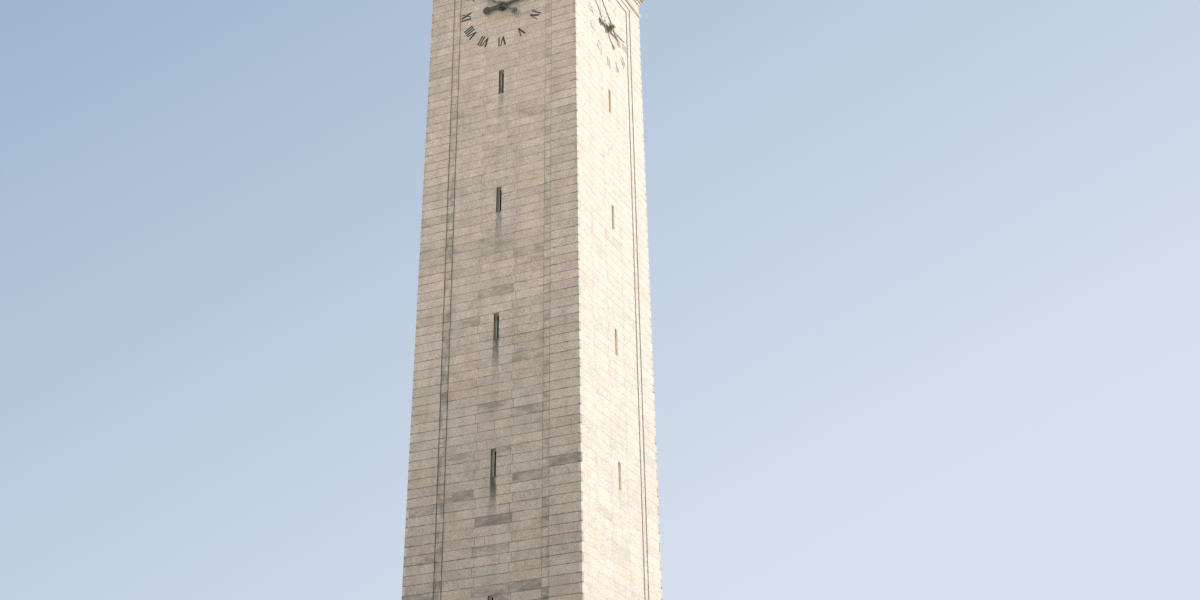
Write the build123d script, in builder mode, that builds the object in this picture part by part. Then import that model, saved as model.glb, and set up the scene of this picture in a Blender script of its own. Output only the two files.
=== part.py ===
# Scale model, 1:10, of a free-standing granite clock tower with a pyramid spire.
# Driving dimensions are written in metres of the real tower and multiplied by M,
# the millimetres of model that stand for one real metre.
# Frame: origin at the centre of the tower's footprint on the ground, +Z up,
# the front face looks along -Y, the right face along +X.
import os
from math import atan, cos, degrees, pi, radians, sin

from build123d import *

os.makedirs("parts", exist_ok=True)

M = 100.0  # one metre of the real tower is 100 mm at 1:10

# --- shaft ---------------------------------------------------------------
COURSE = 0.508  # height of one ashlar course
BASE_HALF = 5.1816  # half width of the shaft at ground level
TAPER = 0.00875  # each face leans in by this much for each unit of height
SHAFT_TOP = 60.62
STRING_BOTTOM, STRING_TOP = 59.74, 60.06
PLINTH_TOP = 3 * COURSE  # 1.524
PLINTH_OUT = 0.18  # how far the plinth stands out past the shaft
FLOOR_TOP = 0.495  # ground floor, three risers up
PIER_IN = 3.20  # inner edge of each corner pier, from the middle of the face
STRIP_IN = 2.80  # inner edge of the narrow strip beside the pier
STEP = 0.05  # each of the two steps from pier to strip and from strip to panel
WALL = 0.65  # thickness of the panel wall
DEPTH = 2 * STEP + WALL  # from the pier's face to the inside of the wall
FRAME_BOTTOM = 12 * COURSE  # the sunk panel starts here
FRAME_TOP = 117 * COURSE  # 59.436, outer top edge of the strip that frames the panel
FRAME_W = 0.40  # width of the strip

# --- slot windows ----------------------------------------------------------
SLOT_W, SLOT_H = 0.3048, 3 * COURSE
SLOT_TOPS = [(27 + 15 * k) * COURSE for k in range(6)]
SLOT_REVEAL = 0.28  # depth of the outer reveal, from panel face to window frame
FLOOR_T = 0.25
FLOORS = [top - SLOT_H - 4 * 0.3048 for top in SLOT_TOPS]  # floor tops

# --- door ------------------------------------------------------------------
DOOR_W, DOOR_H = 1.80, 3.60
DOOR_LEAF_H = 2.55
JAMB_W = 0.34  # width of the stone surround beside the door

# --- dials -----------------------------------------------------------------
DIAL_Z = 56.16
NUM_IN, NUM_OUT, NUM_T = 2.10, 2.70, 0.035
MINUTE_ANGLE, HOUR_ANGLE = 307.8, 85.65  # nine minutes to three, clockwise from XII
ARBOR_R = 0.08
BORE_GAP = 0.0006  # radial running clearance, 0.06 mm in the model

# --- belfry and spire --------------------------------------------------------
DECK = 62.25
BEL_HALF = 4.30
BEL_PIER = 2.60
SPRING = 69.60
ARCADE_TOP = 71.50
ROOF_TOP = 73.40
ATTIC_TOP = 76.20
SPIRE_TOP = 88.40
LANTERN_Z = 89.30
TOTAL = 93.57


def half(z):
    """Half width of the shaft at height z."""
    return BASE_HALF - TAPER * z


def slab(x0, x1, y0, y1, z0, z1):
    """A plain block given by its faces, in real metres, placed in the active part."""
    with Locations(((x0 + x1) / 2 * M, (y0 + y1) / 2 * M, (z0 + z1) / 2 * M)):
        return Box((x1 - x0) * M, (y1 - y0) * M, (z1 - z0) * M)


LEAN = Vector(0, TAPER, 1)  # the direction in which the front face rises


def leaning(x0, x1, d0, d1, z0, z1, mode=Mode.ADD):
    """A block of the front wall between depths d0 and d1 behind the pier face, leaning with the face."""
    with BuildSketch(Plane.XY.offset(z0 * M)) as foot:
        with Locations(((x0 + x1) / 2 * M, (-(half(z0)) + (d0 + d1) / 2) * M)):
            Rectangle((x1 - x0) * M, (d1 - d0) * M)
    extrude(foot.sketch, amount=(z1 - z0) * M * LEAN.length, dir=LEAN, mode=mode)


def save(shape, name):
    shape.label = name
    export_step(shape, f"parts/{name}.step")


SIDES = ("front", "right", "back", "left")


# === base ===================================================================
with BuildPart() as base_plinth:
    ph = BASE_HALF + PLINTH_OUT
    with BuildSketch(Plane.XY):
        Rectangle(2 * ph * M, 2 * ph * M)
    extrude(amount=PLINTH_TOP * M)
    top_edges = base_plinth.faces().sort_by(Axis.Z)[-1].edges()
    chamfer(top_edges, length=0.16 * M)
    # the ground storey's floor is the bottom of this pocket
    with BuildSketch(Plane.XY.offset(FLOOR_TOP * M)):
        inner = half(PLINTH_TOP) - DEPTH
        Rectangle(2 * inner * M, 2 * inner * M)
    extrude(amount=(PLINTH_TOP - FLOOR_TOP) * M, mode=Mode.SUBTRACT)
    # the way in at the front, and the notch that the door surround stands in
    with BuildSketch(Plane.XY.offset(FLOOR_TOP * M)):
        with Locations((0, -4.9 * M)):
            Rectangle(DOOR_W * M, 1.4 * M)
        with Locations((0, -(half(PLINTH_TOP) + 0.5) * M)):
            Rectangle((DOOR_W + 2 * JAMB_W) * M, 1.0 * M)
    extrude(amount=(PLINTH_TOP - FLOOR_TOP) * M, mode=Mode.SUBTRACT)
save(base_plinth.part, "base_plinth")

with BuildPart() as entrance_steps:
    # three treads in front of the door, between two cheek blocks' width
    with BuildSketch(Plane.YZ.offset(-1.60 * M)):
        with BuildLine():
            y0 = -(BASE_HALF + PLINTH_OUT)
            r = FLOOR_TOP / 3
            Polyline(
                (y0 * M, 0),
                ((y0 - 1.05) * M, 0),
                ((y0 - 1.05) * M, r * M),
                ((y0 - 0.70) * M, r * M),
                ((y0 - 0.70) * M, 2 * r * M),
                ((y0 - 0.35) * M, 2 * r * M),
                ((y0 - 0.35) * M, 3 * r * M),
                (y0 * M, 3 * r * M),
                close=True,
            )
        make_face()
    extrude(amount=3.20 * M)
save(entrance_steps.part, "entrance_steps")

# === shaft ==================================================================
with BuildPart() as corner_pier:
    # front right pier, an L of two wall lengths: its ends are plumb, its faces lean in
    for z in (PLINTH_TOP, SHAFT_TOP):
        o, i = half(z), half(z) - DEPTH
        with BuildSketch(Plane.XY.offset(z * M)):
            with BuildLine():
                Polyline(
                    (PIER_IN * M, -o * M),
                    (o * M, -o * M),
                    (o * M, -PIER_IN * M),
                    (i * M, -PIER_IN * M),
                    (i * M, -i * M),
                    (PIER_IN * M, -i * M),
                    close=True,
                )
            make_face()
    loft(ruled=True)
for k, name in enumerate(
    (
        "front_right_pier",
        "back_right_pier",
        "back_left_pier",
        "front_left_pier",
    )
):
    save(corner_pier.part.rotate(Axis.Z, 90 * k), name)


def panel_wall():
    """One face between the piers: sunk panel framed by a strip, pierced by the slot windows."""
    leaning(-PIER_IN, PIER_IN, 2 * STEP, 2 * STEP + WALL, PLINTH_TOP, SHAFT_TOP)
    # dado below and frieze above, flush with the piers
    leaning(-PIER_IN, PIER_IN, 0, 2 * STEP, PLINTH_TOP, FRAME_BOTTOM)
    leaning(-PIER_IN, PIER_IN, 0, 2 * STEP, FRAME_TOP, SHAFT_TOP)
    # the strip, one step back from the pier
    for side in (-1, 1):
        a, b = sorted((side * PIER_IN, side * STRIP_IN))
        leaning(a, b, STEP, 2 * STEP, FRAME_BOTTOM, FRAME_TOP)
    leaning(-STRIP_IN, STRIP_IN, STEP, 2 * STEP, FRAME_TOP - FRAME_W, FRAME_TOP)
    leaning(-STRIP_IN, STRIP_IN, STEP, 2 * STEP, FRAME_BOTTOM, FRAME_BOTTOM + FRAME_W)
    for top in SLOT_TOPS:
        with Locations((0, -4.7 * M, (top - SLOT_H / 2) * M)):
            Box(SLOT_W * M, 2.4 * M, SLOT_H * M, mode=Mode.SUBTRACT)


with BuildPart() as plain_wall:
    panel_wall()
for k, name in ((1, "right_wall"), (2, "back_wall"), (3, "left_wall")):
    save(plain_wall.part.rotate(Axis.Z, 90 * k), name)

with BuildPart() as front_wall:
    panel_wall()
    with Locations((0, -4.8 * M, (FLOOR_TOP + DOOR_H / 2) * M)):
        Box(DOOR_W * M, 2.4 * M, DOOR_H * M, mode=Mode.SUBTRACT)
save(front_wall.part, "front_wall")

# --- upper floors, one below each row of slots
with BuildPart() as upper_floors:
    for z in FLOORS:
        lower, upper = half(z - FLOOR_T) - DEPTH, half(z) - DEPTH
        with BuildSketch(Plane.XY.offset((z - FLOOR_T) * M)) as under:
            Rectangle(2 * lower * M, 2 * lower * M)
        with BuildSketch(Plane.XY.offset(z * M)) as over:
            Rectangle(2 * upper * M, 2 * upper * M)
        loft([under.sketch, over.sketch], ruled=True)
save(upper_floors.part, "upper_floors")

# --- bronze window frames and their glass, set back in the slots
with BuildPart() as frames_front:
    for top in SLOT_TOPS:
        face_y = -(half(top - SLOT_H / 2) - 2 * STEP)
        y = face_y + SLOT_REVEAL
        zc = top - SLOT_H / 2
        with BuildSketch(Plane.XZ.offset(-y * M)):
            with Locations((0, zc * M)):
                Rectangle(SLOT_W * M, SLOT_H * M)
                Rectangle((SLOT_W - 0.11) * M, (SLOT_H - 0.12) * M, mode=Mode.SUBTRACT)
        extrude(amount=-0.07 * M)
with BuildPart() as glass_front:
    for top in SLOT_TOPS:
        face_y = -(half(top - SLOT_H / 2) - 2 * STEP)
        y = face_y + SLOT_REVEAL
        zc = top - SLOT_H / 2
        g = SLOT_W / 2 - 0.055
        slab(-g, g, y + 0.025, y + 0.045, zc - SLOT_H / 2 + 0.06, zc + SLOT_H / 2 - 0.06)


def ring_of(shape, name):
    """The same pieces on all four faces, in one node."""
    pieces = [shape.rotate(Axis.Z, 90 * k) for k in range(4)]
    solids = [s for p in pieces for s in p.solids()]
    save(Compound(children=solids), name)


ring_of(frames_front.part, "slot_window_frames")
ring_of(glass_front.part, "slot_window_glass")

# === entrance ================================================================
with BuildPart() as door_surround:
    # moulded granite jambs and lintel with a hood on two brackets, standing on the top step
    fy = -(BASE_HALF + PLINTH_OUT + 0.06)
    w = DOOR_W / 2
    hz = FLOOR_TOP + DOOR_H + JAMB_W
    slab(-w - JAMB_W, -w, fy, -half(PLINTH_TOP), FLOOR_TOP, PLINTH_TOP)
    slab(w, w + JAMB_W, fy, -half(PLINTH_TOP), FLOOR_TOP, PLINTH_TOP)
    slab(-w - JAMB_W, -w, fy, -4.8, PLINTH_TOP, hz)
    slab(w, w + JAMB_W, fy, -4.8, PLINTH_TOP, hz)
    slab(-w - JAMB_W, w + JAMB_W, fy, -4.8, FLOOR_TOP + DOOR_H, hz)
    slab(-w - 0.40, w + 0.40, fy + 0.02, -4.8, hz, hz + 0.36)
    slab(-w - 0.56, w + 0.56, fy - 0.34, -4.8, hz + 0.36, hz + 0.54)
    for side in (-1, 1):
        x0, x1 = sorted((side * (w + 0.06), side * (w + 0.30)))
        slab(x0, x1, fy - 0.24, -4.8, hz - 0.10, hz + 0.36)
    # the shaft leans away behind it, so its back is trimmed to the face
    with BuildSketch(Plane.YZ.offset(-3 * M)):
        with BuildLine():
            z0, z1 = PLINTH_TOP, 7.0
            Polyline(
                (-half(z0) * M, z0 * M),
                (-half(z1) * M, z1 * M),
                (-4.0 * M, z1 * M),
                (-4.0 * M, z0 * M),
                close=True,
            )
        make_face()
    extrude(amount=6 * M, mode=Mode.SUBTRACT)
save(door_surround.part, "door_surround")

DOOR_Y = -(half(2.0)) + 0.42
with BuildPart() as door_left:
    slab(-DOOR_W / 2, -0.004, DOOR_Y, DOOR_Y + 0.07, FLOOR_TOP + 0.01, FLOOR_TOP + DOOR_LEAF_H)
    for z0, z1 in ((0.25, 0.95), (1.15, 1.65), (1.85, 2.35)):
        slab(-DOOR_W / 2 + 0.16, -0.16, DOOR_Y - 0.02, DOOR_Y, FLOOR_TOP + z0, FLOOR_TOP + z1)
    with Locations(Location(((-0.10) * M, (DOOR_Y - 0.045) * M, (FLOOR_TOP + 1.10) * M))):
        Cylinder(0.015 * M, 0.30 * M)
    slab(-0.11, -0.09, DOOR_Y - 0.045, DOOR_Y, FLOOR_TOP + 0.98, FLOOR_TOP + 1.00)
    slab(-0.11, -0.09, DOOR_Y - 0.045, DOOR_Y, FLOOR_TOP + 1.20, FLOOR_TOP + 1.22)
save(door_left.part, "door_leaf_left")
save(door_left.part.mirror(Plane.YZ), "door_leaf_right")

with BuildPart() as door_transom:
    z0 = FLOOR_TOP + DOOR_LEAF_H + 0.01
    z1 = FLOOR_TOP + DOOR_H
    w = DOOR_W / 2
    with BuildSketch(Plane.XZ.offset(-DOOR_Y * M)):
        with Locations((0, (z0 + z1) / 2 * M)):
            Rectangle(2 * w * M, (z1 - z0) * M)
            Rectangle((2 * w - 0.16) * M, (z1 - z0 - 0.16) * M, mode=Mode.SUBTRACT)
            with GridLocations(0.41 * M, 0, 3, 1):
                Rectangle(0.04 * M, (z1 - z0) * M)
    extrude(amount=-0.09 * M)
    slab(-w + 0.08, w - 0.08, DOOR_Y + 0.03, DOOR_Y + 0.05, z0 + 0.08, z1 - 0.08)
save(door_transom.part, "door_transom")

# === dials ===================================================================
LEAN_ANGLE = degrees(atan(TAPER))
PANEL_Y = -(half(DIAL_Z) - 2 * STEP)
# local x to the right, y up, z out of the face
DIAL = Plane(origin=(0, PANEL_Y * M, DIAL_Z * M), x_dir=(1, 0, 0), z_dir=(0, -1, 0))
# the same, but leaning with the panel, for what is fixed on the stone
FACE = Plane(
    origin=(0, PANEL_Y * M, DIAL_Z * M),
    x_dir=(1, 0, 0),
    z_dir=(0, -cos(radians(LEAN_ANGLE)), sin(radians(LEAN_ANGLE))),
)

THICK, THIN, SERIF, PITCH = 0.066, 0.042, 0.022, 0.150
GLYPH_W = {"I": 0.110, "V": 0.36, "X": 0.36}


def glyph_outline(kind):
    """Closed outlines of one letter, 0.60 high, its foot at y=0 and its middle at x=0."""
    h = NUM_OUT - NUM_IN
    s = SERIF
    if kind == "I":
        a, b = THICK / 2, THICK / 2 + 0.016
        return [
            [(-b, 0), (b, 0), (b, s), (a, s + 0.015), (a, h - s - 0.015), (b, h - s), (b, h), (-b, h), (-b, h - s), (-a, h - s - 0.015), (-a, s + 0.015), (-b, s)]
        ]
    if kind == "V":
        w = GLYPH_W["V"] / 2
        return [
            [(-w, h), (-w + THICK + 0.02, h), (0.028, 0.15), (w - THIN - 0.01, h), (w, h), (0.03, 0), (-0.03, 0)]
        ]
    w = GLYPH_W["X"] / 2
    return [
        [(-w, h), (-w + THICK + 0.02, h), (w, 0), (w - THICK - 0.02, 0)],
        [(w, h), (w - THIN - 0.01, h), (-w, 0), (-w + THIN + 0.01, 0)],
    ]


def numeral(text, angle):
    """Draws one numeral on the dial, its foot towards the centre."""
    widths = {"I": PITCH, "V": 0.40, "X": 0.40}
    total = sum(widths[c] for c in text)
    x = -total / 2
    a = radians(angle)
    for c in text:
        cx = x + widths[c] / 2
        x += widths[c]
        for outline in glyph_outline(c):
            pts = []
            for px, py in outline:
                lx, ly = cx + px, NUM_IN + py
                pts.append(((lx * cos(a) + ly * sin(a)) * M, (-lx * sin(a) + ly * cos(a)) * M))
            Polygon(*pts, align=None)


NUMERALS = ("XII", "I", "II", "III", "IV", "V", "VI", "VII", "VIII", "IX", "X", "XI")
with BuildPart() as numerals:
    with BuildSketch(FACE):
        for n, text in enumerate(NUMERALS):
            numeral(text, 30 * n)
    extrude(amount=NUM_T * M)

# the fixed rosette and the arbor that carries both hands
with BuildPart() as dial_centre:
    with BuildSketch(FACE):
        Circle(0.34 * M)
    extrude(amount=0.035 * M)
    with BuildSketch(DIAL.offset(0.02 * M)):
        Circle(0.24 * M)
    extrude(amount=0.045 * M)
    with BuildSketch(DIAL.offset(0.065 * M)):
        Circle(0.16 * M)
    extrude(amount=0.035 * M)
    with BuildSketch(DIAL.offset(0.10 * M)):
        Circle(ARBOR_R * M)
    extrude(amount=0.35 * M)
    with BuildSketch(DIAL.offset(0.45 * M)):
        Circle(0.15 * M)
    extrude(amount=0.05 * M, taper=20)
ring_of(numerals.part, "dial_numerals")
ring_of(dial_centre.part, "dial_centres")


def hand(outline, disc_at, disc_r, hub_r, z0, t, disc_extra, hub_z0, hub_z1, angle):
    """A flat hand with a round counterweight, bored for the arbor."""
    a = radians(angle)
    pts = [((x * cos(a) + y * sin(a)) * M, (-x * sin(a) + y * cos(a)) * M) for x, y in outline]
    disc = (-disc_at * sin(a) * M, -disc_at * cos(a) * M)
    with BuildSketch(DIAL.offset(z0 * M)) as blade:
        Polygon(*pts, align=None)
        with Locations(disc):
            Circle(disc_r * M)
        Circle(hub_r * M)
    extrude(blade.sketch, amount=t * M)
    if disc_extra:
        with BuildSketch(DIAL.offset(z0 * M)) as weight:
            with Locations(disc):
                Circle((disc_r - 0.03) * M)
        extrude(weight.sketch, amount=(t + disc_extra) * M)
    with BuildSketch(DIAL.offset(hub_z0 * M)) as hub:
        Circle((hub_r - 0.02) * M)
    extrude(hub.sketch, amount=(hub_z1 - hub_z0) * M)
    with BuildSketch(DIAL) as bore:
        Circle((ARBOR_R + BORE_GAP) * M)
    extrude(bore.sketch, amount=0.6 * M, mode=Mode.SUBTRACT)


def both_sides(stations):
    """A closed outline from (half width, distance along) pairs, from the tail to the tip."""
    return [(w, y) for w, y in stations] + [(-w, y) for w, y in reversed(stations)]


MINUTE_OUTLINE = both_sides([(0.066, -1.00), (0.072, -0.12), (0.068, 0.12), (0.066, 0.45), (0.080, 0.95), (0.080, 1.35), (0.040, 2.20), (0.012, 2.46)])
HOUR_OUTLINE = both_sides([(0.110, -0.82), (0.125, -0.40), (0.128, -0.12), (0.125, 0.12), (0.098, 0.40), (0.082, 0.70), (0.088, 1.05), (0.092, 1.30), (0.055, 1.72), (0.014, 2.02)])
for k, side in enumerate(SIDES):
    with BuildPart() as minute_hand:
        hand(MINUTE_OUTLINE, 1.13, 0.20, 0.19, 0.27, 0.045, 0.03, 0.26, 0.37, MINUTE_ANGLE)
    save(minute_hand.part.rotate(Axis.Z, 90 * k), f"{side}_minute_hand")
    with BuildPart() as hour_hand:
        hand(HOUR_OUTLINE, 0.98, 0.24, 0.26, 0.15, 0.045, 0.0, 0.14, 0.205, HOUR_ANGLE)
    save(hour_hand.part.rotate(Axis.Z, 90 * k), f"{side}_hour_hand")


# === main cornice ============================================================
def profile_ring(points, inner):
    """A square ring whose section, as (half width, height) pairs, runs round the tower."""
    lowest, highest = points[0][1], points[-1][1]
    for (h0, z0), (h1, z1) in zip(points, points[1:]):
        if z1 - z0 < 1e-9:
            continue
        with BuildSketch(Plane.XY.offset(z0 * M)) as low:
            Rectangle(2 * h0 * M, 2 * h0 * M)
        if abs(h1 - h0) < 1e-9:
            extrude(low.sketch, amount=(z1 - z0) * M)
        else:
            with BuildSketch(Plane.XY.offset(z1 * M)) as high:
                Rectangle(2 * h1 * M, 2 * h1 * M)
            loft([low.sketch, high.sketch], ruled=True)
    if inner:
        with BuildSketch(Plane.XY.offset(lowest * M)) as core:
            Rectangle(2 * inner * M, 2 * inner * M)
        extrude(core.sketch, amount=(highest - lowest) * M, mode=Mode.SUBTRACT)


HT = half(60.96)
CORNICE = [
    (HT, SHAFT_TOP), (HT + 0.08, SHAFT_TOP + 0.10), (HT + 0.08, SHAFT_TOP + 0.19), (HT + 0.17, SHAFT_TOP + 0.33),
    (HT + 0.17, SHAFT_TOP + 0.95), (HT + 0.32, SHAFT_TOP + 1.04), (HT + 0.80, SHAFT_TOP + 1.04), (HT + 0.80, SHAFT_TOP + 1.32),
    (HT + 0.86, SHAFT_TOP + 1.38), (HT + 1.00, SHAFT_TOP + 1.55), (HT + 1.00, DECK),
]
DECK_IN = HT - DEPTH
with BuildPart() as shaft_cornice:
    profile_ring(CORNICE, DECK_IN)
save(shaft_cornice.part, "shaft_cornice")

with BuildPart() as neck_moulding:
    # the string course under the frieze, a ring that hugs the leaning faces
    z0, z1 = STRING_BOTTOM, STRING_TOP
    for h, z in ((half(z0) + 0.03, z0), (half(z0) + 0.08, z0 + 0.08)):
        with BuildSketch(Plane.XY.offset(z * M)):
            Rectangle(2 * h * M, 2 * h * M)
    loft(ruled=True)
    with BuildSketch(Plane.XY.offset((z0 + 0.08) * M)):
        Rectangle(2 * (half(z0) + 0.08) * M, 2 * (half(z0) + 0.08) * M)
    extrude(amount=0.15 * M)
    for h, z in ((half(z0) + 0.08, z0 + 0.23), (half(z1) + 0.03, z1)):
        with BuildSketch(Plane.XY.offset(z * M)):
            Rectangle(2 * h * M, 2 * h * M)
    loft(ruled=True)
    for z in (z0, z1):
        with BuildSketch(Plane.XY.offset(z * M)):
            Rectangle(2 * half(z) * M, 2 * half(z) * M)
    loft(ruled=True, mode=Mode.SUBTRACT)
save(neck_moulding.part, "neck_moulding")

with BuildPart() as deck_floor:
    with BuildSketch(Plane.XY.offset((DECK - 0.45) * M)):
        Rectangle(2 * DECK_IN * M, 2 * DECK_IN * M)
    extrude(amount=0.45 * M)
save(deck_floor.part, "observation_deck_floor")

# === belfry ==================================================================
with BuildPart() as bel_pier:
    a, b = BEL_PIER, BEL_HALF
    slab(a, b, -b, -a, DECK, ARCADE_TOP)
    slab(a, b + 0.10, -b - 0.10, -a, DECK, DECK + 0.55)
    slab(a, b + 0.05, -b - 0.05, -a, DECK + 0.55, DECK + 0.75)
    # sunk faces are left between these two bands, impost and neck
    slab(a, b + 0.07, -b - 0.07, -a, SPRING - 0.30, SPRING)
ring_of(bel_pier.part, "belfry_corner_piers")

COL_X = 0.96
COL_Y = -3.85
with BuildPart() as columns:
    for side in (-1, 1):
        x = side * COL_X
        slab(x - 0.28, x + 0.28, COL_Y - 0.28, COL_Y + 0.28, DECK, DECK + 1.10)
        slab(x - 0.26, x + 0.26, COL_Y - 0.26, COL_Y + 0.26, DECK + 1.10, DECK + 1.20)
        with BuildSketch(Plane.XZ.offset(-COL_Y * M)):
            with BuildLine():
                z = DECK + 1.20
                Polyline(
                    (x * M, z * M),
                    ((x + 0.25) * M, z * M),
                    ((x + 0.25) * M, (z + 0.08) * M),
                    ((x + 0.215) * M, (z + 0.14) * M),
                    ((x + 0.215) * M, (z + 2.0) * M),
                    ((x + 0.185) * M, (SPRING - 0.50) * M),
                    ((x + 0.215) * M, (SPRING - 0.46) * M),
                    ((x + 0.215) * M, (SPRING - 0.40) * M),
                    ((x + 0.19) * M, (SPRING - 0.38) * M),
                    ((x + 0.19) * M, (SPRING - 0.26) * M),
                    ((x + 0.26) * M, (SPRING - 0.14) * M),
                    (x * M, (SPRING - 0.14) * M),
                    close=True,
                )
            make_face()
        revolve(axis=Axis((x * M, COL_Y * M, 0), (0, 0, 1)))
        slab(x - 0.28, x + 0.28, COL_Y - 0.28, COL_Y + 0.28, SPRING - 0.14, SPRING)
ring_of(columns.part, "belfry_columns")

ARCH_R = 0.68
BAYS = (-1.92, 0.0, 1.92)
with BuildPart() as arcade:
    slab(-BEL_PIER, BEL_PIER, -4.18, -3.52, SPRING, ARCADE_TOP)
    for x in BAYS:
        with BuildSketch(Plane.XZ.offset(4.5 * M)):
            with Locations((x * M, SPRING * M)):
                Circle(ARCH_R * M)
        extrude(amount=-2 * M, mode=Mode.SUBTRACT)
for k, side in enumerate(SIDES):
    save(arcade.part.rotate(Axis.Z, 90 * k), f"{side}_arcade")

with BuildPart() as balustrade:
    for x0, x1 in ((-BEL_PIER, -COL_X - 0.28), (-COL_X + 0.28, COL_X - 0.28), (COL_X + 0.28, BEL_PIER)):
        slab(x0, x1, -4.02, -3.68, DECK, DECK + 0.16)
        slab(x0, x1, -4.02, -3.68, DECK + 0.90, DECK + 1.06)
        n = 5
        pitch = (x1 - x0) / n
        for i in range(n):
            xm = x0 + pitch * (i + 0.5)
            slab(xm - 0.065, xm + 0.065, -3.915, -3.785, DECK + 0.16, DECK + 0.90)
ring_of(balustrade.part, "belfry_balustrades")

BEL_IN = 3.52
BH = 4.18
ENTABLATURE = [
    (BH + 0.12, ARCADE_TOP), (BH + 0.12, ARCADE_TOP + 0.28), (BH + 0.17, ARCADE_TOP + 0.28), (BH + 0.17, ARCADE_TOP + 0.46),
    (BH + 0.12, ARCADE_TOP + 0.50), (BH + 0.12, ARCADE_TOP + 0.95), (BH + 0.26, ARCADE_TOP + 1.08), (BH + 0.26, ARCADE_TOP + 1.32),
    (BH + 0.66, ARCADE_TOP + 1.32), (BH + 0.66, ARCADE_TOP + 1.50),
]
with BuildPart() as entablature:
    profile_ring(ENTABLATURE, BEL_IN)
save(entablature.part, "belfry_entablature")

with BuildPart() as ceiling:
    with BuildSketch(Plane.XY.offset(ARCADE_TOP * M)):
        Rectangle(2 * BEL_IN * M, 2 * BEL_IN * M)
    extrude(amount=0.35 * M)
save(ceiling.part, "belfry_ceiling")

with BuildPart() as roof_slab:
    z = ARCADE_TOP + 1.50
    profile_ring([(BH + 0.68, z), (BH + 0.82, z + 0.22), (BH + 0.82, z + 0.28), (BH + 0.70, ROOF_TOP)], 0)
save(roof_slab.part, "belfry_roof")

# --- parapet runs between the obelisks
with BuildPart() as parapet:
    y = -4.28
    slab(-3.60, 3.60, y - 0.19, y + 0.19, ROOF_TOP, ROOF_TOP + 0.20)
    slab(-3.60, 3.60, y - 0.19, y + 0.19, ROOF_TOP + 0.85, ROOF_TOP + 1.05)
    n = 15
    for i in range(n):
        xm = -3.60 + 7.2 * (i + 0.5) / n
        wdt = 0.30 if i in (4, 10) else 0.075
        slab(xm - wdt, xm + wdt, y - 0.075, y + 0.075, ROOF_TOP + 0.20, ROOF_TOP + 0.85)
ring_of(parapet.part, "roof_parapet")

# --- obelisks on the four corners
OB = 4.12
with BuildPart() as obelisk:
    slab(OB - 0.52, OB + 0.52, -OB - 0.52, -OB + 0.52, ROOF_TOP, ROOF_TOP + 1.10)
    slab(OB - 0.58, OB + 0.58, -OB - 0.58, -OB + 0.58, ROOF_TOP + 1.10, ROOF_TOP + 1.26)
    slab(OB - 0.44, OB + 0.44, -OB - 0.44, -OB + 0.44, ROOF_TOP + 1.26, ROOF_TOP + 1.46)
    for h, z in ((0.36, ROOF_TOP + 1.46), (0.17, ROOF_TOP + 5.30)):
        with BuildSketch(Plane.XY.offset(z * M)):
            with Locations((OB * M, -OB * M)):
                Rectangle(2 * h * M, 2 * h * M)
    loft(ruled=True)
    slab(OB - 0.22, OB + 0.22, -OB - 0.22, -OB + 0.22, ROOF_TOP + 5.30, ROOF_TOP + 5.42)
ring_of(obelisk.part, "corner_obelisks")

with BuildPart() as flame:
    z = ROOF_TOP + 5.42
    with BuildSketch(Plane.XZ.offset(OB * M)):
        with BuildLine():
            Polyline(
                (OB * M, z * M),
                ((OB + 0.12) * M, z * M),
                ((OB + 0.06) * M, (z + 0.08) * M),
                ((OB + 0.17) * M, (z + 0.26) * M),
                ((OB + 0.18) * M, (z + 0.40) * M),
                ((OB + 0.10) * M, (z + 0.66) * M),
                (OB * M, (z + 1.00) * M),
                close=True,
            )
        make_face()
    revolve(axis=Axis((OB * M, -OB * M, 0), (0, 0, 1)))
ring_of(flame.part, "obelisk_flames")

# === spire ===================================================================
ATTIC = [
    (3.05, ROOF_TOP), (3.05, ROOF_TOP + 0.45), (2.92, ROOF_TOP + 0.55), (2.92, ATTIC_TOP - 0.55),
    (3.02, ATTIC_TOP - 0.45), (3.02, ATTIC_TOP - 0.30), (3.20, ATTIC_TOP - 0.18), (3.20, ATTIC_TOP),
]
with BuildPart() as attic:
    profile_ring(ATTIC, 2.50)
save(attic.part, "spire_base")

with BuildPart() as spire:
    for h, z in ((2.90, ATTIC_TOP), (0.66, SPIRE_TOP)):
        with BuildSketch(Plane.XY.offset(z * M)):
            Rectangle(2 * h * M, 2 * h * M)
    loft(ruled=True)
    for h, z in ((2.55, ATTIC_TOP), (0.36, SPIRE_TOP - 0.35)):
        with BuildSketch(Plane.XY.offset(z * M)):
            Rectangle(2 * h * M, 2 * h * M)
    loft(ruled=True, mode=Mode.SUBTRACT)
    profile_ring(
        [(0.72, SPIRE_TOP), (0.84, SPIRE_TOP + 0.12), (0.84, SPIRE_TOP + 0.22), (0.70, SPIRE_TOP + 0.30),
         (0.70, SPIRE_TOP + 0.66), (0.82, SPIRE_TOP + 0.76), (0.82, LANTERN_Z)],
        0,
    )
save(spire.part, "spire")

CAGE_TOP = LANTERN_Z + 2.20
with BuildPart() as cage:
    # eight bronze posts between two rings
    with BuildSketch(Plane.XY.offset(LANTERN_Z * M)):
        RegularPolygon(0.66 * M, 8, rotation=22.5)
    extrude(amount=0.14 * M)
    with BuildSketch(Plane.XY.offset((LANTERN_Z + 0.14) * M)):
        with PolarLocations(0.54 * M, 8, start_angle=22.5):
            Rectangle(0.09 * M, 0.09 * M)
    extrude(amount=1.86 * M)
    with BuildSketch(Plane.XY.offset((LANTERN_Z + 2.0) * M)):
        RegularPolygon(0.66 * M, 8, rotation=22.5)
        RegularPolygon(0.44 * M, 8, rotation=22.5, mode=Mode.SUBTRACT)
    extrude(amount=0.20 * M)
save(cage.part, "lantern_cage")

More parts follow.
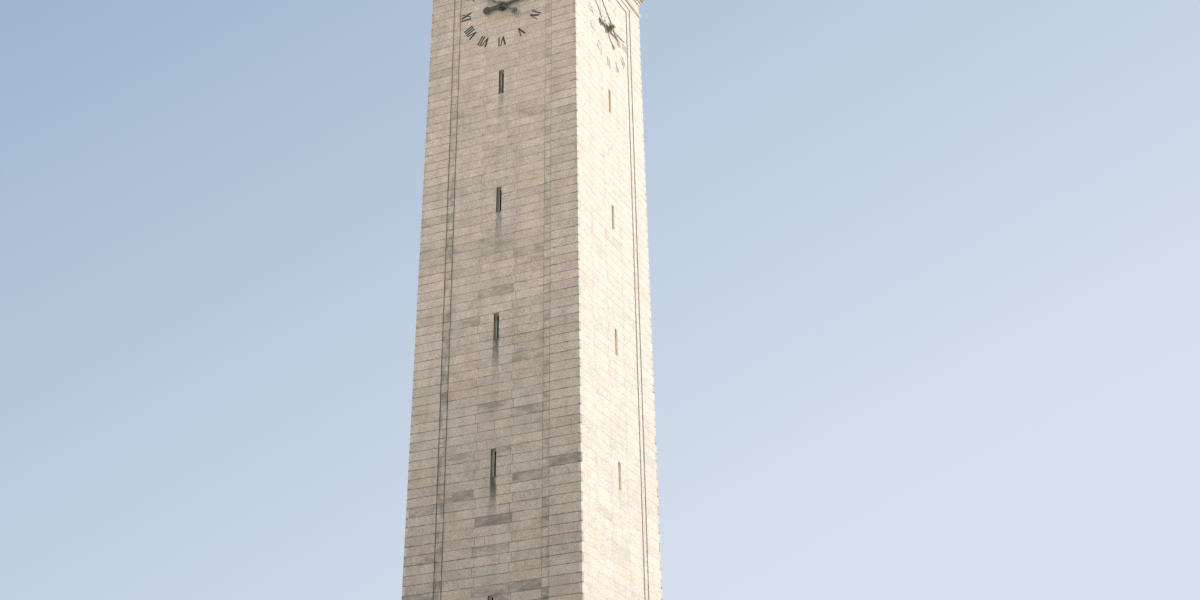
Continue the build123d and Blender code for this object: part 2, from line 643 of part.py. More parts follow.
with BuildPart() as lamp:
    with BuildSketch(Plane.XY.offset((LANTERN_Z + 0.14) * M)):
        RegularPolygon(0.40 * M, 8, rotation=22.5)
    extrude(amount=1.86 * M)
save(lamp.part, "lantern_lamp")

with BuildPart() as lantern_roof:
    with BuildSketch(Plane.XZ):
        with BuildLine():
            z = CAGE_TOP
            Polyline(
                (0, z * M), (0.72 * M, z * M), (0.72 * M, (z + 0.07) * M), (0.62 * M, (z + 0.22) * M),
                (0.42 * M, (z + 0.48) * M), (0.20 * M, (z + 0.64) * M), (0.08 * M, (z + 0.70) * M),
                (0.06 * M, (z + 0.95) * M), (0.14 * M, (z + 1.06) * M), (0.17 * M, (z + 1.20) * M),
                (0.14 * M, (z + 1.34) * M), (0.06 * M, (z + 1.44) * M), (0.045 * M, (z + 1.60) * M),
                (0.02 * M, TOTAL * M), (0, TOTAL * M), close=True,
            )
        make_face()
    revolve(axis=Axis.Z)
save(lantern_roof.part, "lantern_roof_and_finial")

print("lean angle", round(LEAN_ANGLE, 4), "dial y", round(PANEL_Y, 4), "floors", [round(f, 3) for f in FLOORS])
for nm, p in (("minute", minute_hand.part), ("hour", hour_hand.part)):
    c = p.center(CenterOf.MASS)
    v = Vector(c.X, c.Y - PANEL_Y * M, c.Z - DIAL_Z * M)
    print(nm, "volume", round(p.volume), "centre of mass off the arbor, mm:", round(v.X, 2), round(v.Z, 2))
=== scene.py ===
import math
import random

import bmesh
import bpy
import numpy as np
from mathutils import Matrix, Vector


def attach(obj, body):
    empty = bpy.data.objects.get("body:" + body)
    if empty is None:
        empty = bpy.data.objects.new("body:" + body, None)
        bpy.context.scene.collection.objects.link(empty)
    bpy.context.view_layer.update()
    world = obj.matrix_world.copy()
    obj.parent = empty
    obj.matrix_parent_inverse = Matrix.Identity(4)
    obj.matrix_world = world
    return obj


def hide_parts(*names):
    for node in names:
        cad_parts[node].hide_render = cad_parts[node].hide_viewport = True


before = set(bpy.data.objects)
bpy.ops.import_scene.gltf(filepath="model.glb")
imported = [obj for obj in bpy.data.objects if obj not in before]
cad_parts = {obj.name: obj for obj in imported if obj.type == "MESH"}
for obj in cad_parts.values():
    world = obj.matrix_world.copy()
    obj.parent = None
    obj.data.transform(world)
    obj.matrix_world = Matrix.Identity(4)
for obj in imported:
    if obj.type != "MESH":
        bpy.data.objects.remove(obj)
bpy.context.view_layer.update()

K = 0.1
C = 0.508  # one ashlar course
PROUD = 0.008  # the facing stands this far in front of the CAD walls
BASE_HALF, TAPER = 5.1816, 0.00875
SHAFT_TOP = 60.62
PLINTH_TOP, PLINTH_OUT, FLOOR_TOP = 3 * C, 0.18, 0.495
PIER_IN, STRIP_IN, STEP, WALL = 3.20, 2.80, 0.05, 0.65
FRAME_BOTTOM, FRAME_TOP, FRAME_W = 12 * C, 117 * C, 0.40
STRING_BOTTOM, STRING_TOP = 59.74, 60.06
SLOT_W, SLOT_H, SLOT_REVEAL = 0.3048, 3 * C, 0.28
SLOT_TOPS = [(27 + 15 * k) * C for k in range(6)]
DOOR_W, DOOR_H, DOOR_LEAF_H, JAMB_W = 1.80, 3.60, 2.55, 0.34
DIAL_Z = 56.16
MINUTE_ANGLE, HOUR_ANGLE = 307.8, 85.65
ARBOR_R = 0.08
DECK, BEL_HALF, BEL_PIER = 62.25, 4.30, 2.60
SPRING, ARCADE_TOP, ROOF_TOP, ATTIC_TOP = 69.60, 71.50, 73.40, 76.20
SPIRE_TOP, LANTERN_Z, TOTAL = 88.40, 89.30, 93.57
SIDES = ("front", "right", "back", "left")
rng = random.Random(1914)


def half(z):
    return BASE_HALF - TAPER * z


PANEL_Y = -(half(DIAL_Z) - 2 * STEP)


# ---------------------------------------------------------------- mesh helpers
class Acc:
    """Collects faces in real metres; make() turns them into one piece of the model."""

    def __init__(self):
        self.v, self.f, self.m, self.c, self.e = [], [], [], [], []

    def add(self, verts, faces, mat=0, col=(0.5, 0.0, 0.5), edge=1.0):
        n = len(self.v)
        self.v.extend(verts)
        self.f.extend([[i + n for i in f] for f in faces])
        self.m.extend([mat] * len(faces))
        self.c.extend([col] * len(verts))
        self.e.extend(edge if isinstance(edge, list) else [edge] * len(verts))

    def make(self, name, mats, body="tower", slot=None, replaces=(), smooth=None, fix=False):
        mesh = bpy.data.meshes.new(name)
        mesh.from_pydata([(x * K, y * K, z * K) for x, y, z in self.v], [], self.f)
        mesh.polygons.foreach_set("material_index", self.m)
        a = mesh.attributes.new("blk", "FLOAT_COLOR", "POINT")
        a.data.foreach_set("color", np.array([(r, g, b, 1.0) for r, g, b in self.c], np.float32).ravel())
        b = mesh.attributes.new("edge", "FLOAT", "POINT")
        b.data.foreach_set("value", np.array(self.e, np.float32))
        for m in mats:
            mesh.materials.append(m)
        mesh.update()
        if fix:
            clean = bmesh.new()
            clean.from_mesh(mesh)
            bmesh.ops.recalc_face_normals(clean, faces=clean.faces[:])
            clean.to_mesh(mesh)
            clean.free()
        o = bpy.data.objects.new(name, mesh)
        bpy.context.scene.collection.objects.link(o)
        if smooth is not None:
            mesh.shade_smooth()
            mesh.set_sharp_from_angle(angle=math.radians(smooth))
        if replaces:
            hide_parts(*replaces)
        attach(o, body)
        return o


def turn(k, x, y):
    for _ in range(k % 4):
        x, y = -y, x
    return x, y


CORNERS = [(i, j, k) for i in (0, 1) for j in (0, 1) for k in (0, 1)]


def _template():
    index = {s: i for i, s in enumerate(CORNERS)}

    def vert(s, a):
        return index[tuple(s)] * 3 + a

    faces = []
    for a in range(3):
        b, c = [x for x in range(3) if x != a]
        for side in (0, 1):
            loop = []
            for sb, sc in ((0, 0), (1, 0), (1, 1), (0, 1)):
                s = [0, 0, 0]
                s[a], s[b], s[c] = side, sb, sc
                loop.append(vert(s, a))
            faces.append(loop)
    for e in range(3):
        a, b = [x for x in range(3) if x != e]
        for sa in (0, 1):
            for sb in (0, 1):
                s0, s1 = [0, 0, 0], [0, 0, 0]
                s0[a] = s1[a] = sa
                s0[b] = s1[b] = sb
                s1[e] = 1
                faces.append([vert(s0, a), vert(s1, a), vert(s1, b), vert(s0, b)])
    for s in CORNERS:
        faces.append([vert(s, 0), vert(s, 1), vert(s, 2)])
    co = []
    for s in CORNERS:
        for a in range(3):
            co.append(Vector([s[x] if x == a else (0.1 if s[x] == 0 else 0.9) for x in range(3)]))
    out = []
    for f in faces:
        n = (co[f[1]] - co[f[0]]).cross(co[f[2]] - co[f[1]])
        mid = sum((co[i] for i in f), Vector()) / len(f) - Vector((0.5, 0.5, 0.5))
        out.append(f if n.dot(mid) > 0 else f[::-1])
    return out


TEMPLATE = _template()


def mapped(acc, place, lo, hi, inset, col=(0.5, 0.0, 0.5), mat=0, ends=(0.55, 0.55), free=False):
    """A block with its edges chamfered, from lo to hi in its own coordinates, put in place by place(u, d, z). Only the face of
    a stone in a wall is clean, and its joint faces are dark; free: it stands free, and is clean all round."""
    if not isinstance(inset, tuple):
        inset = (inset,) * 3
    verts, edge = [], []
    for s in CORNERS:
        for a in range(3):
            q = []
            for x in range(3):
                full = hi[x] if s[x] else lo[x]
                q.append(full if x == a else (full - inset[x] if s[x] else full + inset[x]))
            verts.append(place(*q))
            edge.append(1.0 if free or (a == 1 and s[1] == 0) else (ends[s[0]] if a == 0 else 0.0))
    acc.add(verts, TEMPLATE, mat, col, edge)


def wall_place(k, h0, taper, l0=0, l1=0, mid=0.0):
    """Places (u along the face, depth behind the plane h0 - taper z, z) on face k. Ends with a lean flag follow the corner."""

    def place(u, d, z):
        lean = l1 if u > mid else l0
        x = u - lean * taper * z
        y = -(h0 - taper * z) + d
        x, y = turn(k, x, y)
        return (x, y, z)

    return place


def stone(acc, k, u0, u1, d0, d1, z0, z1, h0=BASE_HALF, taper=TAPER, l0=0, l1=0, c=0.007, g=None, stain=0.0, gaps=(1, 1, 1, 1), col=None, mat=0, ends=(0.55, 0.55)):
    """One ashlar block; gaps says which of left, right, bottom and top has half a joint."""
    if g is None:
        g = 0.0115 if z1 < 20 else max(0.0075, 0.0115 - 0.0001 * (z1 - 20))
    u0, u1 = u0 + g * gaps[0], u1 - g * gaps[1]
    z0, z1 = z0 + g * gaps[2], z1 - g * gaps[3]
    if u1 - u0 < 0.03 or z1 - z0 < 0.03:
        return
    col = col or (rng.random(), stain, rng.random())
    mapped(acc, wall_place(k, h0, taper, l0, l1, (u0 + u1) / 2), (u0, d0, z0), (u1, d1, z1), c, col, mat, ends)


def plain_box(acc, k, u0, u1, y0, y1, z0, z1, c=0.004, col=(0.5, 0.0, 0.5), mat=0):
    """A chamfered block by its x, y and z on the front, turned to face k."""

    def place(u, d, z):
        x, y = turn(k, u, d)
        return (x, y, z)

    mapped(acc, place, (u0, y0, z0), (u1, y1, z1), c, col, mat, free=True)


def square_ring(acc, pts, mat=0, col=(0.5, 0.0, 0.5), centre=(0.0, 0.0), lean=None):
    """A closed section of (half width, height) points run round a square; the outside goes upwards."""
    verts = []
    for h, z in pts:
        for sx, sy in ((1, -1), (1, 1), (-1, 1), (-1, -1)):
            verts.append((centre[0] + sx * h, centre[1] + sy * h, z))
    n = len(pts)
    faces = []
    for i in range(n):
        j = (i + 1) % n
        for c in range(4):
            d = (c + 1) % 4
            faces.append([i * 4 + c, i * 4 + d, j * 4 + d, j * 4 + c])
    acc.add(verts, faces, mat, col)


def lathe(acc, centre, profile, segs=24, axis="z", mat=0, col=(0.5, 0.0, 0.5), wave=None, closed=False):
    """Turns (radius, height) points about a vertical axis at centre, or about -y for axis 'y' (height outwards)."""
    verts, faces = [], []
    for r, h in profile:
        for i in range(segs):
            a = 2 * math.pi * (i + 0.5) / segs
            rr = r * (wave(a, h) if wave else 1.0)
            if axis == "z":
                verts.append((centre[0] + rr * math.cos(a), centre[1] + rr * math.sin(a), centre[2] + h))
            else:
                verts.append((centre[0] + rr * math.cos(a), centre[1] - h, centre[2] + rr * math.sin(a)))
    n = len(profile)
    for i in range(n if closed else n - 1):
        j = (i + 1) % n
        for s in range(segs):
            t = (s + 1) % segs
            faces.append([i * segs + s, i * segs + t, j * segs + t, j * segs + s])
    if not closed:
        faces.append([s for s in range(segs)][::-1])
        faces.append([(n - 1) * segs + s for s in range(segs)])
    acc.add(verts, faces, mat, col)


def spin(acc, k):
    """Turns everything collected so far to face k, as a new collection."""
    b = Acc()
    b.f, b.m, b.c, b.e = acc.f, acc.m, acc.c, acc.e
    b.v = [(*turn(k, x, y), z) for x, y, z in acc.v]
    return b


def join(accs):
    b = Acc()
    for a in accs:
        n = len(b.v)
        b.v.extend(a.v)
        b.f.extend([[i + n for i in f] for f in a.f])
        b.m.extend(a.m)
        b.c.extend(a.c)
        b.e.extend(a.e)
    return b


def all_faces(acc):
    return join([spin(acc, k) for k in range(4)])


# ---------------------------------------------------------------- materials
class Look:
    """A small helper for node trees."""

    def __init__(self, name):
        self.mat = bpy.data.materials.new(name)
        self.mat.use_nodes = True
        self.t = self.mat.node_tree
        self.t.nodes.clear()
        out = self.t.nodes.new("ShaderNodeOutputMaterial")
        self.b = self.t.nodes.new("ShaderNodeBsdfPrincipled")
        self.t.links.new(self.b.outputs[0], out.inputs[0])
        coord = self.t.nodes.new("ShaderNodeTexCoord").outputs["Object"]
        self.p = self.vmath("SCALE", coord, scale=1 / K)
        xyz = self.t.nodes.new("ShaderNodeSeparateXYZ")
        self.t.links.new(self.p, xyz.inputs[0])
        self.x, self.y, self.z = xyz.outputs

    def put(self, socket, v):
        if isinstance(v, bpy.types.NodeSocket):
            self.t.links.new(v, socket)
        elif v is not None:
            if isinstance(v, tuple) and len(v) == 3 and socket.type == "RGBA":
                v = (*v, 1.0)
            socket.default_value = v

    def vmath(self, op, a, b=None, scale=None):
        n = self.t.nodes.new("ShaderNodeVectorMath")
        n.operation = op
        self.put(n.inputs[0], a)
        self.put(n.inputs[1], b)
        if scale is not None:
            self.put(n.inputs["Scale"], scale)
        return n.outputs["Vector"]

    def math(self, op, a, b=None, c=None, clamp=False):
        n = self.t.nodes.new("ShaderNodeMath")
        n.operation = op
        n.use_clamp = clamp
        self.put(n.inputs[0], a)
        self.put(n.inputs[1], b)
        self.put(n.inputs[2], c)
        return n.outputs[0]

    def vec(self, x, y, z):
        n = self.t.nodes.new("ShaderNodeCombineXYZ")
        for i, v in enumerate((x, y, z)):
            self.put(n.inputs[i], v)
        return n.outputs[0]

    def noise(self, scale, detail=3.0, rough=0.55, vec=None, distort=0.0):
        n = self.t.nodes.new("ShaderNodeTexNoise")
        self.put(n.inputs["Vector"], self.p if vec is None else vec)
        n.inputs["Scale"].default_value = scale
        n.inputs["Detail"].default_value = detail
        n.inputs["Roughness"].default_value = rough
        n.inputs["Distortion"].default_value = distort
        return n.outputs[0]

    def ramp(self, v, lo, hi, a=0.0, b=1.0, smooth=True):
        n = self.t.nodes.new("ShaderNodeMapRange")
        n.interpolation_type = "SMOOTHSTEP" if smooth else "LINEAR"
        n.clamp = True
        self.put(n.inputs["Value"], v)
        for name, x in (("From Min", lo), ("From Max", hi), ("To Min", a), ("To Max", b)):
            self.put(n.inputs[name], x)
        return n.outputs["Result"]

    def mix(self, fac, a, b, mode="MIX"):
        n = self.t.nodes.new("ShaderNodeMix")
        n.data_type = "RGBA"
        n.blend_type = mode
        self.put(n.inputs[0], fac)
        self.put(n.inputs[6], a)
        self.put(n.inputs[7], b)
        return n.outputs[2]

    def attr(self, name):
        n = self.t.nodes.new("ShaderNodeAttribute")
        n.attribute_name = name
        return n

    def split(self, colour):
        n = self.t.nodes.new("ShaderNodeSeparateColor")
        self.put(n.inputs[0], colour)
        return n.outputs[0], n.outputs[1], n.outputs[2]

    def bump(self, height, distance, strength=1.0, normal=None):
        n = self.t.nodes.new("ShaderNodeBump")
        n.inputs["Strength"].default_value = strength
        n.inputs["Distance"].default_value = distance
        self.put(n.inputs["Height"], height)
        if normal is not None:
            self.put(n.inputs["Normal"], normal)
        return n.outputs[0]

    def done(self, colour, rough, normal=None, **fixed):
        self.put(self.b.inputs["Base Color"], colour)
        self.put(self.b.inputs["Roughness"], rough)
        if normal is not None:
            self.put(self.b.inputs["Normal"], normal)
        for name, v in fixed.items():
            self.b.inputs[name.replace("_", " ")].default_value = v
        return self.mat


STONE_LIGHT = (0.668, 0.557, 0.452)
STONE_DEEP = (0.563, 0.464, 0.372)
STONE_DARK = (0.182, 0.168, 0.124)
MORTAR = (0.075, 0.062, 0.050)
MORTAR_PALE = (0.385, 0.322, 0.264)
# pale mortar for the two side faces: painted light, standing in for sunlight bleaching the joints
MORTAR_SIDE_PAINTED_LIT = (0.580, 0.500, 0.410)


def granite(name, along=None, blocks=False, skin=None, skin_taper=TAPER, joints=None, light=STONE_LIGHT, deep=STONE_DEEP, weather=1.0, clean=False):
    """Pale granite. along: the axis that runs along the face, for the streaks under the slots. blocks: reads the tone
    of
    each block. skin: the CAD walls, whose outer plane is the joint bed behind the blocks. joints: (course, length)
    drawn.
    clean: the two side faces, cooler, with fainter joints and less grime; partly washing by the weather, partly painted
    sunlight bleaching them."""
    s = Look(name)
    # less grime on the two side faces, partly weathering and partly painted sunlight bleaching them
    wash_and_sun_bleach = 0.28 if clean else 1.0
    grain = s.noise(34.0, 3.0, 0.7)
    speck = s.noise(11.0, 4.0, 0.75)
    cloud = s.noise(1.3, 5.0, 0.6)
    streak = s.noise(1.0, 4.0, 0.6, vec=s.vmath("MULTIPLY", s.p, (1.6, 1.6, 0.22)))
    col = s.mix(s.ramp(cloud, 0.3, 0.7), deep, light)
    col = s.mix(1.0, col, s.mix(s.ramp(grain, 0.30, 0.70), (0.72, 0.72, 0.73), (1.18, 1.17, 1.16)), "MULTIPLY")
    col = s.mix(1.0, col, s.mix(s.ramp(speck, 0.28, 0.72), (0.76, 0.76, 0.755), (1.15, 1.15, 1.15)), "MULTIPLY")
    height = s.math("MULTIPLY", grain, 0.5)
    if blocks:
        tone, stain, tint = s.split(s.attr("blk").outputs["Color"])
        lo_t, hi_t = (0.955, 1.02) if clean else (0.915, 1.045)
        col = s.mix(1.0, col, s.mix(tone, (lo_t, lo_t, lo_t + 0.004), (hi_t, hi_t - 0.004, hi_t - 0.010)), "MULTIPLY")
        col = s.mix(s.ramp(tint, 0.55, 1.0, 0.0, 0.55), col, s.mix(1.0, col, (1.06, 0.985, 0.89), "MULTIPLY"))
        # blotches spread over a stained block
        patch = s.noise(0.9, 5.0, 0.68, vec=s.vmath("MULTIPLY", s.p, (1.0, 1.0, 2.4)))
        spot = s.ramp(s.math("ADD", s.math("MULTIPLY", patch, 1.7), s.math("MULTIPLY", stain, 0.40)), 0.86, 1.48, 0.0, 1.0)
        spot = s.math("MULTIPLY", spot, s.ramp(stain, 0.02, 0.3))
        col = s.mix(s.math("MULTIPLY", spot, s.ramp(s.z, 18.0, 50.0, 0.78 * weather * wash_and_sun_bleach, 0.50 * weather * wash_and_sun_bleach)), col, STONE_DARK)
        edge = s.attr("edge").outputs["Fac"]
        col = s.mix(s.math("MULTIPLY", s.math("SUBTRACT", 1.0, edge), 0.10 if clean else 0.50), col, STONE_DARK)
        # grime that gathers along the bed joints, in patches
        if along:
            f = s.math("DIVIDE", s.math("MODULO", s.z, C), C)
            near = s.math("MULTIPLY", s.math("MINIMUM", f, s.math("SUBTRACT", 1.0, f)), C)
            wide = s.ramp(s.noise(2.3, 5.0, 0.7), 0.42, 0.68, 0.006, 0.080)
            # the joints and lines are fainter near the top, least so on the corner piers
            out = s.ramp(s.math("ABSOLUTE", s.x if along == "x" else s.y), PIER_IN - 0.02, PIER_IN + 0.02, smooth=False)
            high = s.ramp(s.z, 42.0, 55.0, 1.0, s.ramp(out, 0.0, 1.0, 0.40, 0.95, smooth=False))
            dirt = s.math("MULTIPLY", s.ramp(near, 0.0, wide, 1.0, 0.0), high)
            col = s.mix(s.math("MULTIPLY", dirt, 0.66 * wash_and_sun_bleach), col, STONE_DARK)
    # dark runs down the whole wall
    run = s.math("MULTIPLY", s.ramp(streak, 0.50, 0.80), 0.24 * weather * wash_and_sun_bleach)
    col = s.mix(run, col, STONE_DARK)
    if along:
        u = s.math("ABSOLUTE", s.x if along == "x" else s.y)
        below = s.math("MODULO", s.math("ADD", s.math("SUBTRACT", SLOT_TOPS[0] - SLOT_H, s.z), 76.2), 7.62)
        wob = s.noise(2.6, 3.0, 0.6)
        w = s.math("ADD", s.math("MULTIPLY", below, 0.020), s.math("ADD", 0.105, s.math("MULTIPLY", wob, 0.13)))
        across = s.ramp(s.math("SUBTRACT", u, w), 0.055, -0.055)
        down = s.math("ADD", s.math("MULTIPLY", s.math("EXPONENT", s.math("MULTIPLY", s.math("POWER", s.math("DIVIDE", below, 1.30), 2.4), -1.0)), 0.88),
                      s.math("MULTIPLY", s.math("EXPONENT", s.math("MULTIPLY", below, -0.33)), 0.40))
        here = s.math("MULTIPLY", s.ramp(s.z, 50.35, 50.28, smooth=False), s.ramp(s.z, 4.0, 7.0))
        # the streaks are stronger low on the shaft
        here = s.math("MULTIPLY", here, s.ramp(s.z, 20.0, 52.0, 1.0, 0.30, smooth=False))
        m = s.math("MULTIPLY", s.math("MULTIPLY", across, down), here)
        m = s.math("MULTIPLY", m, s.ramp(s.noise(5.0, 3.0, 0.6, vec=s.vmath("MULTIPLY", s.p, (1, 1, 0.35))), 0.25, 0.6, 0.6, 1.0), clamp=True)
        col = s.mix(s.math("MULTIPLY", m, 0.10 if clean else 1.0, clamp=True), col, (0.070, 0.086, 0.068))
        # the strips beside the panel are greyer and streaked
        zone_s = s.math("MULTIPLY", s.ramp(u, STRIP_IN - 0.03, STRIP_IN + 0.01, smooth=False), s.ramp(u, PIER_IN + 0.01, PIER_IN - 0.03, smooth=False))
        tall = s.math("MULTIPLY", s.ramp(s.z, FRAME_BOTTOM, FRAME_BOTTOM + 0.01, smooth=False), s.ramp(s.z, FRAME_TOP, FRAME_TOP - 0.01, smooth=False))
        zone_s = s.math("MULTIPLY", s.math("MULTIPLY", zone_s, tall), high)
        strip = s.math("MULTIPLY", zone_s, s.ramp(s.noise(0.95, 4.0, 0.7, vec=s.vmath("MULTIPLY", s.p, (2.0, 2.0, 1.0))), 0.44, 0.66, 0.0, 1.0))
        # less so on the side where x is positive, where the two lines are what shows
        plus = s.ramp(s.x, -0.1, 0.1, smooth=False) if along == "x" else 0.0
        col = s.mix(s.math("MULTIPLY", strip, s.ramp(plus, 0.0, 1.0, 0.62 * wash_and_sun_bleach, 0.34 * wash_and_sun_bleach, smooth=False)), col, (0.178, 0.200, 0.165))
        rung = s.math("MULTIPLY", s.math("MULTIPLY", zone_s, s.ramp(near, 0.0, 0.05, 1.0, 0.0)), s.ramp(s.noise(1.9, 4.0, 0.7), 0.40, 0.60, 0.25, 1.0))
        col = s.mix(s.math("MULTIPLY", rung, 0.0 if clean else 0.62), col, (0.085, 0.092, 0.075))
        # a darker line along each arris of the two steps
        for at, wd in ((STRIP_IN - PROUD, 0.030), (PIER_IN - PROUD, 0.030)):
            off = s.math("ABSOLUTE", s.math("SUBTRACT", u, at))
            line = s.math("MULTIPLY", s.ramp(off, 0.0, s.ramp(plus, 0.0, 1.0, wd, wd + 0.016, smooth=False), 1.0, 0.0), s.ramp(s.noise(1.4, 5.0, 0.7), 0.34, 0.58, 0.35, 1.0))
            line = s.math("MULTIPLY", line, s.math("MULTIPLY", s.ramp(s.z, FRAME_BOTTOM, FRAME_BOTTOM + 0.01, smooth=False), s.ramp(s.z, FRAME_TOP, FRAME_TOP - 0.01, smooth=False)))
            line = s.math("MULTIPLY", line, high)
            if clean:
                fade = s.math("MULTIPLY", s.ramp(s.y, 0.1, -0.1, smooth=False), 0.55)
                col = s.mix(s.math("MULTIPLY", line, fade), col, (0.500, 0.440, 0.270))
            else:
                col = s.mix(s.math("MULTIPLY", line, s.ramp(plus, 0.0, 1.0, 0.62, 0.84, smooth=False)), col, (0.120, 0.115, 0.098))
        if not clean:
            # the joints are open at the corners
            off = s.math("SUBTRACT", s.math("SUBTRACT", BASE_HALF, s.math("MULTIPLY", s.z, TAPER)), u)
            nick = s.math("MULTIPLY", s.ramp(off, 0.17, 0.0), s.ramp(near, 0.0, 0.105, 1.0, 0.0))
            nick = s.math("MULTIPLY", nick, s.ramp(s.noise(1.1, 3.0, 0.6), 0.36, 0.58, 0.35, 0.95))
            col = s.mix(nick, col, (0.060, 0.058, 0.045))
        # broad brown stains over several courses
        zone = s.ramp(s.noise(0.23, 4.0, 0.6), 0.56, 0.74)
        col = s.mix(s.math("MULTIPLY", zone, 0.30 * wash_and_sun_bleach), col, s.mix(1.0, col, (0.70, 0.64, 0.58), "MULTIPLY"))
        # a green bloom on the stone round the bronze of the dial
        r = s.math("SQRT", s.math("ADD", s.math("POWER", u, 2.0), s.math("POWER", s.math("SUBTRACT", s.z, DIAL_Z - 0.35), 2.0)))
        bloom = s.math("MULTIPLY", s.ramp(r, 1.35, 0.30), s.ramp(s.noise(1.8, 4.0, 0.65), 0.35, 0.62, 0.35, 1.0))
        col = s.mix(s.math("MULTIPLY", bloom, 0.42 * wash_and_sun_bleach), col, (0.380, 0.350, 0.150))
        # the foot of the shaft is darker and greyer than its top
        foot = s.ramp(s.z, 4.0, 53.0, 1.0, 0.0)
        col = s.mix(s.math("MULTIPLY", foot, 1.0 if not clean else 0.12), col, s.mix(1.0, col, (0.548, 0.590, 0.615), "MULTIPLY"))
    if joints:
        n = s.t.nodes.new("ShaderNodeTexBrick")
        n.offset = 0.5
        s.put(n.inputs["Vector"], s.vec(s.math("ADD", s.x, s.y), s.z, 0.0))
        n.inputs["Scale"].default_value = 1.0
        n.inputs["Mortar Size"].default_value = 0.009
        n.inputs["Mortar Smooth"].default_value = 0.2
        n.inputs["Brick Width"].default_value = joints[1]
        n.inputs["Row Height"].default_value = joints[0]
        n.inputs["Color1"].default_value = (0.90, 0.90, 0.90, 1)
        n.inputs["Color2"].default_value = (1.06, 1.05, 1.04, 1)
        n.inputs["Mortar"].default_value = (0.98, 0.98, 0.98, 1)
        col = s.mix(1.0, col, n.outputs["Color"], "MULTIPLY")
        col = s.mix(s.math("MULTIPLY", n.outputs["Fac"], 0.75), col, MORTAR)
        height = s.math("SUBTRACT", height, s.math("MULTIPLY", n.outputs["Fac"], 3.0))
    if skin:
        reach = s.math("ADD", s.math("MAXIMUM", s.math("ABSOLUTE", s.x), s.math("ABSOLUTE", s.y)), s.math("MULTIPLY", s.z, skin_taper))
        bed = s.ramp(reach, skin - 0.002, skin + 0.002, smooth=False)
        # not on the sides of the doorway
        door = s.math("MULTIPLY", s.ramp(s.y, -4.0, -4.01, smooth=False), s.math("MULTIPLY", s.ramp(s.math("ABSOLUTE", s.x), 0.96, 0.95, smooth=False), s.ramp(s.z, 4.2, 4.19, smooth=False)))
        bed = s.math("MULTIPLY", bed, s.math("SUBTRACT", 1.0, door))
        side = s.math("GREATER_THAN", s.math("ABSOLUTE", s.x), s.math("ABSOLUTE", s.y))
        # the joints are open and dark low down, tight and paler towards the top, and uneven everywhere
        tight = s.ramp(s.math("ADD", s.math("MULTIPLY", s.z, 0.0070), s.noise(0.9, 5.0, 0.75, vec=s.vmath("MULTIPLY", s.p, (0.30, 0.30, 2.2)))), 0.48, 0.86)
        out = s.ramp(s.math("MINIMUM", s.math("ABSOLUTE", s.x), s.math("ABSOLUTE", s.y)), PIER_IN - 0.02, PIER_IN + 0.02, smooth=False)
        tight = s.math("MULTIPLY", tight, s.ramp(out, 0.0, 1.0, 1.0, 0.55, smooth=False))
        # on the two side faces the joints get the pale mortar, painted as if bleached by sunlight
        col = s.mix(bed, col, s.mix(side, s.mix(tight, MORTAR, MORTAR_PALE), MORTAR_SIDE_PAINTED_LIT))
    normal = s.bump(height, 0.0004, 0.55)
    normal = s.bump(s.noise(7.0, 4.0, 0.6), 0.0012, 0.25, normal)
    return s.done(col, s.ramp(grain, 0.3, 0.7, 0.72, 0.88), normal, Specular_IOR_Level=0.35)


def patina(name, dark=(0.040, 0.052, 0.040), pale=(0.22, 0.30, 0.25), amount=0.5, metal=0.35, rough=(0.46, 0.80), spec=0.4):
    """Bronze gone dark green, with pale verdigris in patches and runs."""
    s = Look(name)
    big = s.noise(3.2, 5.0, 0.65)
    fine = s.noise(26.0, 3.0, 0.6)
    run = s.noise(7.0, 3.0, 0.6, vec=s.vmath("MULTIPLY", s.p, (1.5, 1.5, 0.25)))
    m = s.math("ADD", s.math("MULTIPLY", big, 0.55), s.math("MULTIPLY", run, 0.45))
    m = s.ramp(m, 0.62 - 0.3 * amount, 0.78 - 0.3 * amount)
    col = s.mix(m, dark, pale)
    col = s.mix(1.0, col, s.mix(s.ramp(fine, 0.3, 0.7), (0.78, 0.80, 0.78), (1.15, 1.12, 1.08)), "MULTIPLY")
    col = s.mix(s.ramp(s.noise(13.0, 4.0, 0.7), 0.66, 0.80, 0.0, 0.6), col, (0.085, 0.055, 0.030))
    normal = s.bump(s.math("ADD", fine, s.math("MULTIPLY", m, 0.6)), 0.0005, 0.5)
    return s.done(col, s.ramp(m, 0.0, 1.0, *rough), normal, Metallic=metal, Specular_IOR_Level=spec)


def dark_glass(name, tone=(0.007, 0.008, 0.007)):
    s = Look(name)
    dust = s.ramp(s.noise(4.0, 5.0, 0.65), 0.45, 0.8)
    col = s.mix(dust, tone, tuple(t * 2.2 + 0.006 for t in tone))
    return s.done(col, s.ramp(dust, 0.0, 1.0, 0.06, 0.30), s.bump(s.noise(1.2, 2.0), 0.0006, 0.12), Specular_IOR_Level=0.22)


def milk_glass(name):
    s = Look(name)
    col = s.mix(s.ramp(s.noise(3.0, 4.0), 0.35, 0.7), (0.62, 0.63, 0.56), (0.80, 0.80, 0.73))
    return s.done(col, s.ramp(s.noise(9.0, 3.0), 0.3, 0.7, 0.12, 0.3), s.bump(s.noise(2.0, 2.0), 0.0005, 0.15), Specular_IOR_Level=0.5)


def concrete(name):
    s = Look(name)
    col = s.mix(s.ramp(s.noise(1.7, 6.0, 0.65), 0.3, 0.72), (0.30, 0.29, 0.27), (0.46, 0.45, 0.42))
    col = s.mix(s.ramp(s.noise(33.0, 2.0), 0.55, 0.75, 0.0, 0.35), col, (0.20, 0.19, 0.18))
    return s.done(col, s.ramp(s.noise(5.0, 3.0), 0.3, 0.7, 0.75, 0.92), s.bump(s.noise(18.0, 4.0), 0.0005, 0.4), Specular_IOR_Level=0.3)


